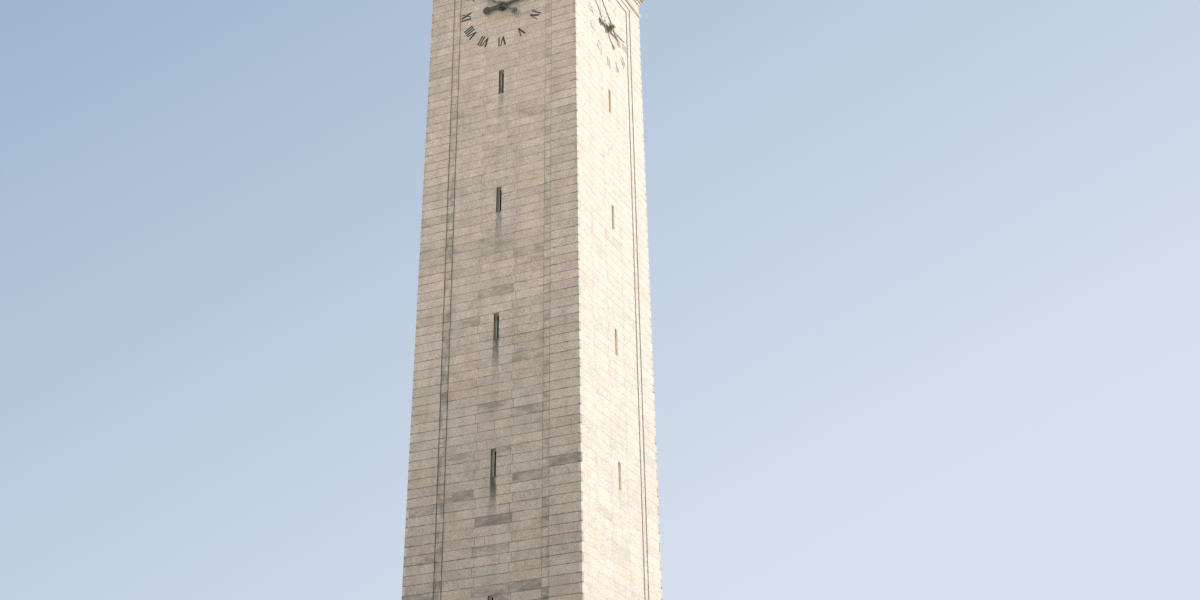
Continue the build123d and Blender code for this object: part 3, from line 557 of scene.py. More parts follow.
M_BLOCK_X = granite("granite_blocks_front_back", along="x", blocks=True)
# the two side faces: a cooler, cleaner copy of the granite, partly weathering and partly painted sunlight bleaching
# them
M_BLOCK_Y_PAINTED_LIT = granite("granite_blocks_sides_painted_lit", along="y", blocks=True, clean=True, light=(0.625, 0.560, 0.480), deep=(0.545, 0.485, 0.412))
M_WALL = granite("granite_wall_core", skin=BASE_HALF - 2 * STEP - 0.004)
M_PLINTH_CORE = granite("granite_plinth_core", skin=BASE_HALF - 0.02, skin_taper=0.0)
M_STONE = granite("granite_dressed", weather=1.2)
M_STONE_BLOCKS = granite("granite_blocks_upper", blocks=True)
M_FOOT = granite("granite_blocks_foot", blocks=True, weather=1.2, light=(0.490, 0.424, 0.350), deep=(0.410, 0.352, 0.288))
M_JOINTED = granite("granite_jointed", joints=(C, 1.3), weather=1.2)
M_BED = granite("granite_joint_bed", light=(0.135, 0.115, 0.095), deep=(0.095, 0.082, 0.068))
M_BRONZE = patina("bronze_dark", dark=(0.030, 0.038, 0.028), pale=(0.125, 0.150, 0.115), amount=0.42, metal=0.0, rough=(0.45, 0.60), spec=0.5)
M_BRONZE_PALE = patina("bronze_verdigris", dark=(0.125, 0.140, 0.105), pale=(0.32, 0.375, 0.30), amount=0.75, metal=0.15)
M_BRONZE_NUM = patina("bronze_numerals", dark=(0.012, 0.013, 0.010), pale=(0.050, 0.055, 0.042), amount=0.2, metal=0.0, rough=(0.50, 0.65), spec=0.35)
M_BRONZE_MINUTE = patina("bronze_minute_hand", dark=(0.065, 0.074, 0.054), pale=(0.20, 0.230, 0.175), amount=0.6, metal=0.0, rough=(0.45, 0.60), spec=0.5)
# the same bronze on the two side faces, painted pale as if in bright sun (painted light), partly as paler weathering;
# the numerals there likewise
M_BRONZE_PAINTED_LIT = patina("bronze_painted_lit", dark=(0.215, 0.195, 0.140), pale=(0.460, 0.430, 0.330), amount=0.6, metal=0.0, rough=(0.45, 0.65), spec=0.5)
M_NUM_PAINTED_LIT = patina("bronze_numerals_painted_lit", dark=(0.360, 0.330, 0.265), pale=(0.500, 0.475, 0.400), amount=0.6, metal=0.0, rough=(0.45, 0.65), spec=0.5)
# the slot linings of the side faces, painted pale for the bounce light in their shaded jambs (painted light)
M_LINING_PAINTED_LIT = patina("slot_lining_painted_lit", dark=(0.700, 0.590, 0.450), pale=(0.800, 0.700, 0.560), amount=0.6, metal=0.0, rough=(0.6, 0.8), spec=0.3)
M_SILL = patina("slot_sill_verdigris", dark=(0.085, 0.098, 0.078), pale=(0.19, 0.22, 0.175), amount=0.5, metal=0.0)
M_BRONZE_DOOR = patina("bronze_door", dark=(0.050, 0.038, 0.024), pale=(0.12, 0.16, 0.12), amount=0.25, metal=0.55)
M_FRAME = patina("window_frame_verdigris", dark=(0.36, 0.40, 0.33), pale=(0.56, 0.61, 0.53), amount=0.8, metal=0.0)
M_LINING = patina("slot_lining_verdigris", dark=(0.20, 0.215, 0.170), pale=(0.36, 0.39, 0.32), amount=0.7, metal=0.0)
M_GLASS = dark_glass("slot_glass")
M_MILK = milk_glass("lantern_glass")
M_CONCRETE = concrete("concrete_floor")


def dress(node, mat):
    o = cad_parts[node]
    if not o.material_slots:
        o.data.materials.append(mat)
    for sl in o.material_slots:
        sl.material = mat


for n in ("front_wall", "right_wall", "back_wall", "left_wall", "front_right_pier", "back_right_pier", "back_left_pier", "front_left_pier"):
    dress(n, M_WALL)
for n in ("upper_floors", "observation_deck_floor", "belfry_ceiling"):
    dress(n, M_CONCRETE)
dress("base_plinth", M_PLINTH_CORE)
dress("entrance_steps", M_STONE)
dress("door_surround", M_STONE)
for n in ("door_leaf_left", "door_leaf_right", "door_transom"):
    dress(n, M_BRONZE_DOOR)
dress("slot_window_frames", M_FRAME)
dress("slot_window_glass", M_GLASS)
dress("dial_numerals", M_BRONZE_NUM)
dress("dial_centres", M_BRONZE_PALE)
for s_ in SIDES:
    dress(f"{s_}_minute_hand", M_BRONZE_MINUTE)
    dress(f"{s_}_hour_hand", M_BRONZE)
    dress(f"{s_}_arcade", M_JOINTED)
for n in ("shaft_cornice", "neck_moulding", "belfry_entablature", "belfry_roof", "belfry_columns", "belfry_balustrades", "roof_parapet", "spire_base", "corner_obelisks"):
    dress(n, M_STONE)
dress("belfry_corner_piers", M_JOINTED)
dress("spire", M_BED)
for n in ("obelisk_flames", "lantern_cage", "lantern_roof_and_finial"):
    dress(n, M_BRONZE_PALE)
dress("lantern_lamp", M_MILK)

# ---------------------------------------------------------------- shaft stones
T = 0.16  # thickness of a facing slab, seen at the corners


def stain_chance(z):
    # the lower half of the shaft is more stained
    low = 0.29 - 0.0040 * z
    return rng.random() < low


def stain_value(z):
    return rng.uniform(0.35, 1.0) * (1.0 - 0.5 * min(1.0, max(0.0, (z - 36.0) / 18.0))) if stain_chance(z) else 0.0


def courses(z0, z1, step=C):
    """(index, bottom, top) of the courses between two heights, cut where they start or end."""
    n = int(math.floor(z0 / step + 1e-6))
    while n * step < z1 - 1e-6:
        lo, hi = max(z0, n * step), min(z1, (n + 1) * step)
        if hi - lo > 0.06:
            yield n, lo, hi
        n += 1


def shaft_face(k):
    wall, piers = Acc(), Acc()
    corner = BASE_HALF + PROUD
    own_even = k % 2 == 0
    # piers
    for z0, z1 in ((PLINTH_TOP, STRING_BOTTOM), (STRING_TOP, SHAFT_TOP)):
        for n, lo, hi in courses(z0, z1):
            own = (n % 2 == 0) == own_even
            u_in = PIER_IN - PROUD
            if lo < FRAME_BOTTOM - 0.01 or lo > FRAME_TOP - 0.01:
                u_in = PIER_IN + (0.12 if n % 2 else -0.12)
            for sgn in (-1, 1):
                st = stain_value(lo)
                # the step returns on the two side faces are left undarkened, part of their painted sunlit look
                in_end = 1.0 if k % 2 else rng.choice((-0.4, 0.2, 0.7, 1.0))
                if own:
                    a, b = u_in, corner
                    # the end of a stone from the side faces is seen on the front or back, and is darkened there towards
                    # that face's dirtier tone
                    out_end = rng.choice((-1.6, -0.9, 0.1)) if k % 2 else 0.95
                    if sgn > 0:
                        stone(piers, k, a, b, -PROUD, T, lo, hi, l1=1, gaps=(0, 0, 1, 1), stain=st, ends=(in_end, out_end))
                    else:
                        stone(piers, k, -b, -a, -PROUD, T, lo, hi, l0=-1, gaps=(0, 0, 1, 1), stain=st, ends=(out_end, in_end))
                else:
                    b = corner - T
                    if sgn > 0:
                        stone(piers, k, u_in, b, -PROUD, T, lo, hi, l1=1, gaps=(0, 1, 1, 1), stain=st, ends=(in_end, 0.55))
                    else:
                        stone(piers, k, -b, -u_in, -PROUD, T, lo, hi, l0=-1, gaps=(1, 0, 1, 1), stain=st, ends=(0.55, in_end))
    # strips beside the panel
    for n, lo, hi in courses(FRAME_BOTTOM, FRAME_TOP):
        for sgn in (-1, 1):
            a, b = STRIP_IN - PROUD, PIER_IN - PROUD - 0.002
            st = stain_value(lo) if rng.random() < 0.8 else 0.5
            # the step returns on the two side faces are left undarkened, part of their painted sunlit look
            in_end = 1.0 if k % 2 else rng.choice((-0.4, 0.2, 0.7, 1.0))
            if sgn > 0:
                stone(wall, k, a, b, STEP - PROUD, 2 * STEP + 0.1, lo, hi, gaps=(0, 1, 1, 1), stain=st, ends=(in_end, 0.55))
            else:
                stone(wall, k, -b, -a, STEP - PROUD, 2 * STEP + 0.1, lo, hi, gaps=(1, 0, 1, 1), stain=st, ends=(0.55, in_end))
    # strips above and below the panel
    for z0, z1 in ((FRAME_BOTTOM, FRAME_BOTTOM + FRAME_W), (FRAME_TOP - FRAME_W, FRAME_TOP)):
        us = [-STRIP_IN + PROUD, -1.7, -0.55, 0.6, 1.75, STRIP_IN - PROUD]
        for a, b in zip(us, us[1:]):
            stone(wall, k, a, b, STEP - PROUD, 2 * STEP + 0.1, z0, z1, stain=stain_value(z0))
    # the sunk panel
    zlo, zhi = FRAME_BOTTOM + FRAME_W, FRAME_TOP - FRAME_W
    for n, lo, hi in courses(zlo, zhi):
        if n % 2:
            us = [-0.98, 1.11]
        else:
            us = [-1.11, 0.97]
        us = [u + rng.uniform(-0.012, 0.012) for u in us]
        slot = any(t - SLOT_H - 0.01 < lo and hi < t + 0.01 for t in SLOT_TOPS)
        end = STRIP_IN - PROUD
        spans = [(-end, us[0]), (us[1], end)]
        if slot:
            spans += [(us[0], -SLOT_W / 2), (SLOT_W / 2, us[1])]
        elif rng.random() < 0.28:
            m = rng.choice((0.03, -0.4, 0.42))
            spans += [(us[0], m), (m, us[1])]
        else:
            spans.append((us[0], us[1]))
        for a, b in spans:
            ga = 0 if slot and abs(a - SLOT_W / 2) < 1e-6 else 1
            gb = 0 if slot and abs(b + SLOT_W / 2) < 1e-6 else 1
            stone(wall, k, a, b, 2 * STEP - PROUD, 2 * STEP + 0.1, lo, hi, stain=stain_value(lo), gaps=(ga, gb, 1, 1))
    # dado under the panel, and frieze over it
    for z0, z1 in ((PLINTH_TOP, FRAME_BOTTOM), (FRAME_TOP, STRING_BOTTOM), (STRING_TOP, SHAFT_TOP)):
        for n, lo, hi in courses(z0, z1):
            e = PIER_IN + (0.12 if n % 2 else -0.12)
            us = [-e, -1.75, -0.1, 1.65, e] if n % 2 else [-e, -1.2, 0.6, 2.0, e]
            for a, b in zip(us, us[1:]):
                if k == 0 and lo < 4.3 and z0 == PLINTH_TOP:
                    for a2, b2 in ((a, min(b, -1.0)), (max(a, 1.0), b)):
                        if b2 - a2 > 0.1:
                            stone(wall, k, a2, b2, -PROUD, T, lo, hi, stain=stain_value(lo))
                else:
                    stone(wall, k, a, b, -PROUD, T, lo, hi, stain=stain_value(lo))
    # the side faces take the granite painted as sunlit and bleached
    m = M_BLOCK_X if k % 2 == 0 else M_BLOCK_Y_PAINTED_LIT
    wall.make(f"{SIDES[k]}_wall_stones", [m], slot="granite")
    piers.make(f"{SIDES[k]}_pier_stones", [m], slot="granite")


for k_ in range(4):
    shaft_face(k_)

# ---------------------------------------------------------------- slot windows: lining and sill
# on the two side faces the linings and sills are painted pale, standing in for bounce light in the shaded jambs
for name_, ks_, m_lin, m_sill in (("front_back", (0, 2), M_LINING, M_SILL), ("right_left", (1, 3), M_LINING_PAINTED_LIT, M_LINING_PAINTED_LIT)):
    lining = Acc()
    for k_ in ks_:
        for top in SLOT_TOPS:
            lo, hi = top - SLOT_H, top
            d0, d1 = 2 * STEP + 0.012, 2 * STEP + SLOT_REVEAL
            w = SLOT_W / 2
            t_ = 0.016 if k_ % 2 == 0 else 0.040
            for u0, u1, z0, z1 in ((-w, -w + t_, lo, hi), (w - t_, w, lo, hi), (-w, w, hi - 0.016, hi)):
                stone(lining, k_, u0, u1, d0, d1, z0, z1, g=0.0, c=0.003, col=(0.5, 0, 0.5))
            stone(lining, k_, -w + t_, w - t_, 2 * STEP - (0.030 if k_ % 2 == 0 else -0.004), d1, lo, lo + 0.028, g=0.0, c=0.006, col=(0.5, 0, 0.5), mat=1)
            if k_ % 2 == 0:
                stone(lining, k_, -w - 0.020, w + 0.020, 2 * STEP - 0.045, 2 * STEP + 0.05, lo - 0.045, lo, g=0.0, c=0.008, col=(0.5, 0, 0.5), mat=1)
    lining.make(f"slot_linings_and_sills_{name_}", [m_lin, m_sill], slot="bronze")

# ---------------------------------------------------------------- dial numerals
THICK, THIN, SERIF = 0.066, 0.042, 0.022
NUM_IN, NUM_OUT, NUM_T = 2.10, 2.70, 0.035
LEAN_ANGLE = math.atan(TAPER)


def glyph_outline(kind):
    h, s = NUM_OUT - NUM_IN, SERIF
    if kind == "I":
        a, b = THICK / 2, THICK / 2 + 0.016
        return [[(-b, 0), (b, 0), (b, s), (a, s + 0.015), (a, h - s - 0.015), (b, h - s), (b, h), (-b, h), (-b, h - s), (-a, h - s - 0.015), (-a, s + 0.015), (-b, s)]]
    if kind == "V":
        w = 0.18
        return [[(-w, h), (-w + THICK + 0.02, h), (0.028, 0.15), (w - THIN - 0.01, h), (w, h), (0.03, 0), (-0.03, 0)]]
    w = 0.18
    return [
        [(-w, h), (-w + THICK + 0.02, h), (w, 0), (w - THICK - 0.02, 0)],
        [(w, h), (w - THIN - 0.01, h), (-w, 0), (-w + THIN + 0.01, 0)],
    ]


def face_point(x, y, out):
    """A point x right, y up and out from the leaning panel at the dial's centre, on the front."""
    c, s = math.cos(LEAN_ANGLE), math.sin(LEAN_ANGLE)
    return (x, PANEL_Y - out * c + y * s, DIAL_Z + y * c + out * s)


def add_plate(bm, outline, h0, h1, bevel, place):
    """A flat plate with bevelled upper edges from an outline in (x, y)."""
    area = sum(a[0] * b[1] - b[0] * a[1] for a, b in zip(outline, outline[1:] + outline[:1]))
    if area < 0:
        outline = outline[::-1]
    n = len(outline)
    inner = []
    for i in range(n):
        p0, p1, p2 = Vector(outline[i - 1]), Vector(outline[i]), Vector(outline[(i + 1) % n])
        e0, e1 = (p1 - p0).normalized(), (p2 - p1).normalized()
        n0, n1 = Vector((-e0.y, e0.x)), Vector((-e1.y, e1.x))
        m = n0 + n1
        m = m / max(m.length_squared, 0.35) * 2 if m.length > 1e-6 else n0
        inner.append((p1.x + m.x * bevel, p1.y + m.y * bevel))
    rows = [
        [bm.verts.new(place(x, y, h0)) for x, y in outline],
        [bm.verts.new(place(x, y, h1 - bevel)) for x, y in outline],
        [bm.verts.new(place(x, y, h1)) for x, y in inner],
    ]
    for a, b in zip(rows, rows[1:]):
        for i in range(n):
            j = (i + 1) % n
            bm.faces.new((a[i], a[j], b[j], b[i]))
    bm.faces.new(rows[2])
    bm.faces.new(rows[0][::-1])


def from_bmesh(bm, name, mats, body="tower", replaces=(), smooth=None):
    mesh = bpy.data.meshes.new(name)
    bmesh.ops.recalc_face_normals(bm, faces=bm.faces[:])
    bmesh.ops.triangulate(bm, faces=[f for f in bm.faces if len(f.verts) > 4])
    for v in bm.verts:
        v.co *= K
    bm.to_mesh(mesh)
    bm.free()
    for m in mats:
        mesh.materials.append(m)
    if smooth is not None:
        mesh.shade_smooth()
        mesh.set_sharp_from_angle(angle=math.radians(smooth))
    o = bpy.data.objects.new(name, mesh)
    bpy.context.scene.collection.objects.link(o)
    if replaces:
        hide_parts(*replaces)
    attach(o, body)
    return o


NUMERALS = ("XII", "I", "II", "III", "IV", "V", "VI", "VII", "VIII", "IX", "X", "XI")
WIDTHS = {"I": 0.15, "V": 0.40, "X": 0.40}
# the numerals on the two side faces are painted pale, as if in bright sun (painted light)
for name_, ks_, m_num, over in (("front_back", (0, 2), M_BRONZE_NUM, ("dial_numerals",)), ("right_left", (1, 3), M_NUM_PAINTED_LIT, ())):
    bm = bmesh.new()
    for k_ in ks_:
        for n_, text in enumerate(NUMERALS):
            a_ = math.radians(30 * n_)
            x_ = -sum(WIDTHS[ch] for ch in text) / 2
            for ch in text:
                cx = x_ + WIDTHS[ch] / 2
                x_ += WIDTHS[ch]
                for part, outline in enumerate(glyph_outline(ch)):
                    pts = []
                    for px, py in outline:
                        lx, ly = cx + px, NUM_IN + py
                        pts.append((lx * math.cos(a_) + ly * math.sin(a_), -lx * math.sin(a_) + ly * math.cos(a_)))

                    def place(x, y, out, k=k_):
                        p = face_point(x, y, out)
                        q = turn(k, p[0], p[1])
                        return (q[0], q[1], p[2])

                    add_plate(bm, pts, 0.002, NUM_T - 0.004 * part, 0.007, place)
    from_bmesh(bm, f"dial_numerals_{name_}", [m_num], replaces=over)

# ---------------------------------------------------------------- hands
MINUTE_OUTLINE = [(0.066, -1.00), (0.072, -0.12), (0.068, 0.12), (0.066, 0.45), (0.080, 0.95), (0.080, 1.35), (0.040, 2.20), (0.012, 2.46)]
HOUR_OUTLINE = [(0.110, -0.82), (0.125, -0.40), (0.128, -0.12), (0.125, 0.12), (0.098, 0.40), (0.082, 0.70), (0.088, 1.05), (0.092, 1.30), (0.055, 1.72), (0.014, 2.02)]


def smooth_widths(stations, steps=4):
    """More stations along a blade, on a smooth curve through the given ones."""
    ys = [y for _, y in stations]
    ws = [w for w, _ in stations]
    out = []
    for i in range(len(ys) - 1):
        y0, y1, w0, w1 = ys[i], ys[i + 1], ws[i], ws[i + 1]
        m0 = (w1 - ws[i - 1]) / (y1 - ys[i - 1]) if i > 0 else (w1 - w0) / (y1 - y0)
        m1 = (ws[i + 2] - w0) / (ys[i + 2] - y0) if i + 2 < len(ys) else (w1 - w0) / (y1 - y0)
        for j in range(steps):
            t = j / steps
            h = y1 - y0
            w = (2 * t**3 - 3 * t**2 + 1) * w0 + (t**3 - 2 * t**2 + t) * h * m0 + (-2 * t**3 + 3 * t**2) * w1 + (t**3 - t**2) * h * m1
            out.append((max(0.010, min(w, max(w0, w1) * 1.02)), y0 + t * h))
    out.append((ws[-1], ys[-1]))
    return out


def hand(name, k, outline, angle, z0, z1, ridge, disc_at, disc_r, disc_top, hub_r, hub_z0, hub_z1, mat, node):
    acc = Acc()
    a = math.radians(angle)

    def place(x, y, out):
        px, pz = x * math.cos(a) + y * math.sin(a), -x * math.sin(a) + y * math.cos(a)
        qx, qy = turn(k, px, PANEL_Y - out)
        return (qx, qy, DIAL_Z + pz)

    rows = smooth_widths(outline)
    n = len(rows)
    verts, faces = [], []
    for w, y in rows:
        r = min(ridge, w * 0.5)
        verts += [place(-w, y, z0), place(-w, y, z1 - 0.012), place(-w + min(0.012, w * 0.4), y, z1), place(0, y, z1 + r),
                  place(w - min(0.012, w * 0.4), y, z1), place(w, y, z1 - 0.012), place(w, y, z0)]
    for i in range(n - 1):
        for j in range(7):
            b = (j + 1) % 7
            faces.append([i * 7 + j, (i + 1) * 7 + j, (i + 1) * 7 + b, i * 7 + b])
    faces.append([j for j in range(7)])
    faces.append([(n - 1) * 7 + j for j in range(7)][::-1])
    acc.add(verts, faces)

    def turned(cx, cy, profile, segs, closed=False):
        v, f = [], []
        for r, out in profile:
            for i in range(segs):
                t = 2 * math.pi * i / segs
                v.append(place(cx + r * math.cos(t), cy + r * math.sin(t), out))
        m = len(profile)
        for i in range(m if closed else m - 1):
            j = (i + 1) % m
            for s in range(segs):
                t = (s + 1) % segs
                f.append([i * segs + s, i * segs + t, j * segs + t, j * segs + s])
        if not closed:
            f.append([s for s in range(segs)][::-1])
            f.append([(m - 1) * segs + s for s in range(segs)])
        acc.add(v, f)

    R = disc_r
    turned(0, -disc_at, [(R - 0.012, z0), (R, z0 + 0.012), (R, z1 - 0.012), (R - 0.012, z1), (R - 0.045, z1 + 0.001), (R - 0.055, z1 - 0.008), (0.075, z1 - 0.004),
                         (0.070, disc_top - 0.010), (0.045, disc_top), (0.0005, disc_top + 0.0005)], 40)
    b = ARBOR_R + 0.0006
    turned(0, 0, [(b, hub_z0), (hub_r - 0.02, hub_z0), (hub_r - 0.02, z0), (hub_r, z0 + 0.006), (hub_r, z1 - 0.006), (hub_r - 0.012, z1 + 0.004), (hub_r - 0.035, z1 + 0.006),
                  (hub_r - 0.045, hub_z1 - 0.012), (hub_r - 0.055, hub_z1), (b, hub_z1)], 48, closed=True)
    o = acc.make(name, [mat], body=f"{node}_body", slot="bronze", replaces=(node,), smooth=35)
    fix = bmesh.new()
    fix.from_mesh(o.data)
    bmesh.ops.recalc_face_normals(fix, faces=fix.faces[:])
    fix.to_mesh(o.data)
    fix.free()
    o.data.set_sharp_from_angle(angle=math.radians(35))


# on the two side faces the hands are in bronze painted pale, as if in bright sun (painted light)
for k_, s_ in enumerate(SIDES):
    side_painted_lit = k_ % 2 == 1
    hand(f"{s_}_minute_hand_shaped", k_, MINUTE_OUTLINE, MINUTE_ANGLE, 0.27, 0.315, 0.020, 1.13, 0.20, 0.345, 0.19, 0.26, 0.37, M_BRONZE_PAINTED_LIT if side_painted_lit else M_BRONZE_MINUTE, f"{s_}_minute_hand")
    hand(f"{s_}_hour_hand_shaped", k_, HOUR_OUTLINE, HOUR_ANGLE, 0.15, 0.195, 0.018, 0.98, 0.24, 0.203, 0.26, 0.14, 0.205, M_BRONZE_PAINTED_LIT if side_painted_lit else M_BRONZE, f"{s_}_hour_hand")

# ---------------------------------------------------------------- swept mouldings and upper works
def arc(x0, y0, x1, y1, bulge, n=4):
    """Points after (x0, y0) up to (x1, y1) on a curve that bulges to the right of the way along it."""
    out = []
    dx, dy = x1 - x0, y1 - y0
    for i in range(1, n + 1):
        t = i / n
        b = bulge * math.sin(math.pi * t)
        out.append((x0 + dx * t + dy * b, y0 + dy * t - dx * b))
    return out


def moulding(acc, section, cuts, gap=0.006, taper=0.0, stain=0.25, sides=(0, 1, 2, 3), mat=0, reach=None):
    """A square moulding in separate stones. section: closed (half width, z) points, outside upwards; cuts: where the stones
    meet, as places along a side between -1 and 1; the ends at -1 and 1 are mitred at the corners."""
    n = len(section)
    hmax = reach or max(h for h, _ in section)
    for k in sides:
        for a, b in zip(cuts, cuts[1:]):
            verts = []
            for t, inward in ((a, 1), (b, -1)):
                for h, z in section:
                    mitred = abs(abs(t) - 1) < 1e-9
                    u = t * (h if mitred else hmax) + inward * (0.0 if mitred else gap)
                    x, y = turn(k, u, -h)
                    verts.append((x, y, z))
            faces = [[i, n + i, n + (i + 1) % n, (i + 1) % n] for i in range(n)]
            faces.append(list(range(n)))
            faces.append([n + i for i in range(n)][::-1])
            acc.add(verts, faces, mat, (rng.random(), rng.uniform(0.2, 0.9) if rng.random() < stain else 0.0, rng.random()), 1.0)


def prism(acc, place, outline, d0, d1, col=None, mat=0):
    """An outline in (u, z) given a depth from d0 to d1 by place(u, d, z)."""
    n = len(outline)
    verts = [place(u, d0, z) for u, z in outline] + [place(u, d1, z) for u, z in outline]
    faces = [[i, (i + 1) % n, n + (i + 1) % n, n + i] for i in range(n)]
    faces.append(list(range(n))[::-1])
    faces.append([n + i for i in range(n)])
    acc.add(verts, faces, mat, col or (rng.random(), 0.0, rng.random()), 1.0)


def flat_place(k):
    def place(u, y, z):
        x, q = turn(k, u, y)
        return (x, q, z)

    return place


def baluster(acc, x, y, z0, z1, r, segs=14, col=(0.5, 0.0, 0.5)):
    h = z1 - z0
    prof = [(0.98, 0.0), (0.98, 0.07), (0.72, 0.10), (0.62, 0.15), (0.80, 0.24), (1.0, 0.33), (0.92, 0.42), (0.66, 0.54), (0.48, 0.68), (0.46, 0.78),
            (0.66, 0.82), (0.66, 0.85), (0.50, 0.88), (0.88, 0.93), (0.92, 1.0)]
    lathe(acc, (x, y, z0), [(r * a, h * b) for a, b in prof], segs, col=col)


# plinth: two plain courses, a chamfered third
acc = Acc()
PB = BASE_HALF + PLINTH_OUT
for k_ in range(4):
    for n_, (lo, hi) in enumerate(((0.0, C), (C, 2 * C))):
        e = PB + PROUD
        own = (n_ + k_) % 2 == 0
        ends = e if own else e - 0.2
        us = [-ends, -3.3, -1.55, 0.1, 1.7, 3.4, ends] if n_ % 2 else [-ends, -2.6, -1.25, 1.25, 2.7, ends]
        if k_ == 0:
            us = [-ends, -3.3, -1.25, 1.25, 3.4, ends] if n_ % 2 else [-ends, -2.6, -1.25, 1.25, 2.7, ends]
        for a, b in zip(us, us[1:]):
            if k_ == 0 and abs(a + 1.25) < 1e-6 and abs(b - 1.25) < 1e-6:
                continue
            stone(acc, k_, a, b, -PROUD, 0.2, max(lo, 0.004), hi, h0=PB, taper=0, c=0.012, stain=stain_value(0), gaps=(0 if a == -ends and own else 1, 0 if b == ends and own else 1, 0 if lo == 0 else 1, 1))
    place = wall_place(k_, PB, 0)
    us = [-1.0, -3.0 / PB, -1.24 / PB, 1.24 / PB, 3.0 / PB, 1.0] if k_ == 0 else [-1.0, -0.55, -0.18, 0.2, 0.6, 1.0]
    for a, b in zip(us, us[1:]):
        if k_ == 0 and abs(a + 1.24 / PB) < 1e-6:
            continue
        q = PROUD
        sec = [(PB - 0.3, 2 * C + 0.008), (PB + q, 2 * C + 0.008), (PB + q, PLINTH_TOP - 0.165), (PB + q - 0.010, PLINTH_TOP - 0.148), (PB - 0.155, PLINTH_TOP + 0.006), (PB - 0.17, PLINTH_TOP + 0.012), (PB - 0.3, PLINTH_TOP + 0.012)]
        moulding(acc, sec, [a, b], gap=0.008, sides=(k_,), stain=0.5)
acc.make("plinth_stones", [M_FOOT], slot="granite", fix=True)

# entrance steps, each tread in three stones with a rounded nosing
acc = Acc()
for i_ in range(3):
    y0_, y1_ = -6.4116 + 0.35 * i_, -5.3616
    z0_, z1_ = 0.165 * i_, 0.165 * (i_ + 1)
    for a, b in ((-1.6, -0.56), (-0.56, 0.50), (0.50, 1.6)) if i_ % 2 else ((-1.6, -0.3), (-0.3, 0.8), (0.8, 1.6)):
        ga, gb = (0 if a == -1.6 else 0.004), (0 if b == 1.6 else 0.004)
        nose = 0.030
        sec = [(y1_, z0_), (y1_, z1_), (y0_ + nose, z1_)]
        for j in range(1, 5):
            t = math.pi / 2 * j / 4
            sec.append((y0_ + nose - nose * math.sin(t), z1_ - nose + nose * math.cos(t)))
        sec += [(y0_, z1_ - 0.055), (y0_ + 0.022, z1_ - 0.065), (y0_ + 0.022, z0_ if i_ == 0 else z0_)]
        n_ = len(sec)
        verts = [(a + ga, y, z) for y, z in sec] + [(b - gb, y, z) for y, z in sec]
        faces = [[j, (j + 1) % n_, n_ + (j + 1) % n_, n_ + j] for j in range(n_)] + [list(range(n_))[::-1], [n_ + j for j in range(n_)]]
        acc.add(verts, faces, 0, (rng.random(), 0.3 * rng.random(), rng.random()), 1.0)
acc.make("entrance_steps_nosed", [M_FOOT], slot="granite", replaces=("entrance_steps",), fix=True)

# trim on the door surround: fillets, dentils, volutes, and the bronze doors' frames and studs
FY = -(BASE_HALF + PLINTH_OUT + 0.06)
HZ = FLOOR_TOP + DOOR_H + JAMB_W
acc = Acc()
for sgn in (-1, 1):
    for x0_, x1_, out in ((0.905, 0.955, 0.016), (0.990, 1.030, 0.010), (1.175, 1.238, 0.026)):
        a, b = sorted((sgn * x0_, sgn * x1_))
        plain_box(acc, 0, a, b, FY - out, FY + 0.01, FLOOR_TOP + 0.22, HZ - (x0_ - 0.905) * 0 - 0.02, c=0.004)
    a, b = sorted((sgn * 0.90, sgn * 1.24))
    plain_box(acc, 0, a, b, FY - 0.035, FY + 0.01, FLOOR_TOP, FLOOR_TOP + 0.24, c=0.010)
for z0_, z1_, out in ((FLOOR_TOP + DOOR_H + 0.005, FLOOR_TOP + DOOR_H + 0.055, 0.016), (FLOOR_TOP + DOOR_H + 0.09, FLOOR_TOP + DOOR_H + 0.13, 0.010), (HZ - 0.065, HZ - 0.002, 0.026)):
    plain_box(acc, 0, -1.238, 1.238, FY - out, FY + 0.01, z0_, z1_, c=0.004)
n_ = 17
for i_ in range(n_):
    x_ = -0.90 + 1.80 * i_ / (n_ - 1)
    plain_box(acc, 0, x_ - 0.032, x_ + 0.032, FY - 0.075, FY + 0.03, HZ + 0.245, HZ + 0.335, c=0.004)
plain_box(acc, 0, -1.30, 1.30, FY - 0.02, FY + 0.03, HZ + 0.335, HZ + 0.362, c=0.004)
for sgn in (-1, 1):
    a, b = sorted((sgn * 0.95, sgn * 1.21))
    for cy, cz, r in ((FY - 0.165, HZ + 0.245, 0.070), (FY - 0.075, HZ + 0.005, 0.048)):
        prof = [(0.001, 0.0), (r, 0.0), (r, b - a), (0.001, b - a)]
        v_, f_ = [], []
        seg = 20
        for rr, h in prof[1:3]:
            for s_i in range(seg):
                t = 2 * math.pi * s_i / seg
                v_.append((a + h, cy + rr * math.cos(t), cz + rr * math.sin(t)))
        f_ = [[i, (i + 1) % seg, seg + (i + 1) % seg, seg + i] for i in range(seg)] + [list(range(seg))[::-1], [seg + i for i in range(seg)]]
        acc.add(v_, f_, 0, (0.5, 0.1, 0.5), 1.0)
    for j in range(3):
        x_ = (a + b) / 2 + (j - 1) * 0.075
        plain_box(acc, 0, x_ - 0.014, x_ + 0.014, FY - 0.252, FY - 0.2, HZ - 0.06, HZ + 0.20, c=0.004)
acc.make("door_surround_trim", [M_STONE], slot="granite", fix=True, smooth=40)

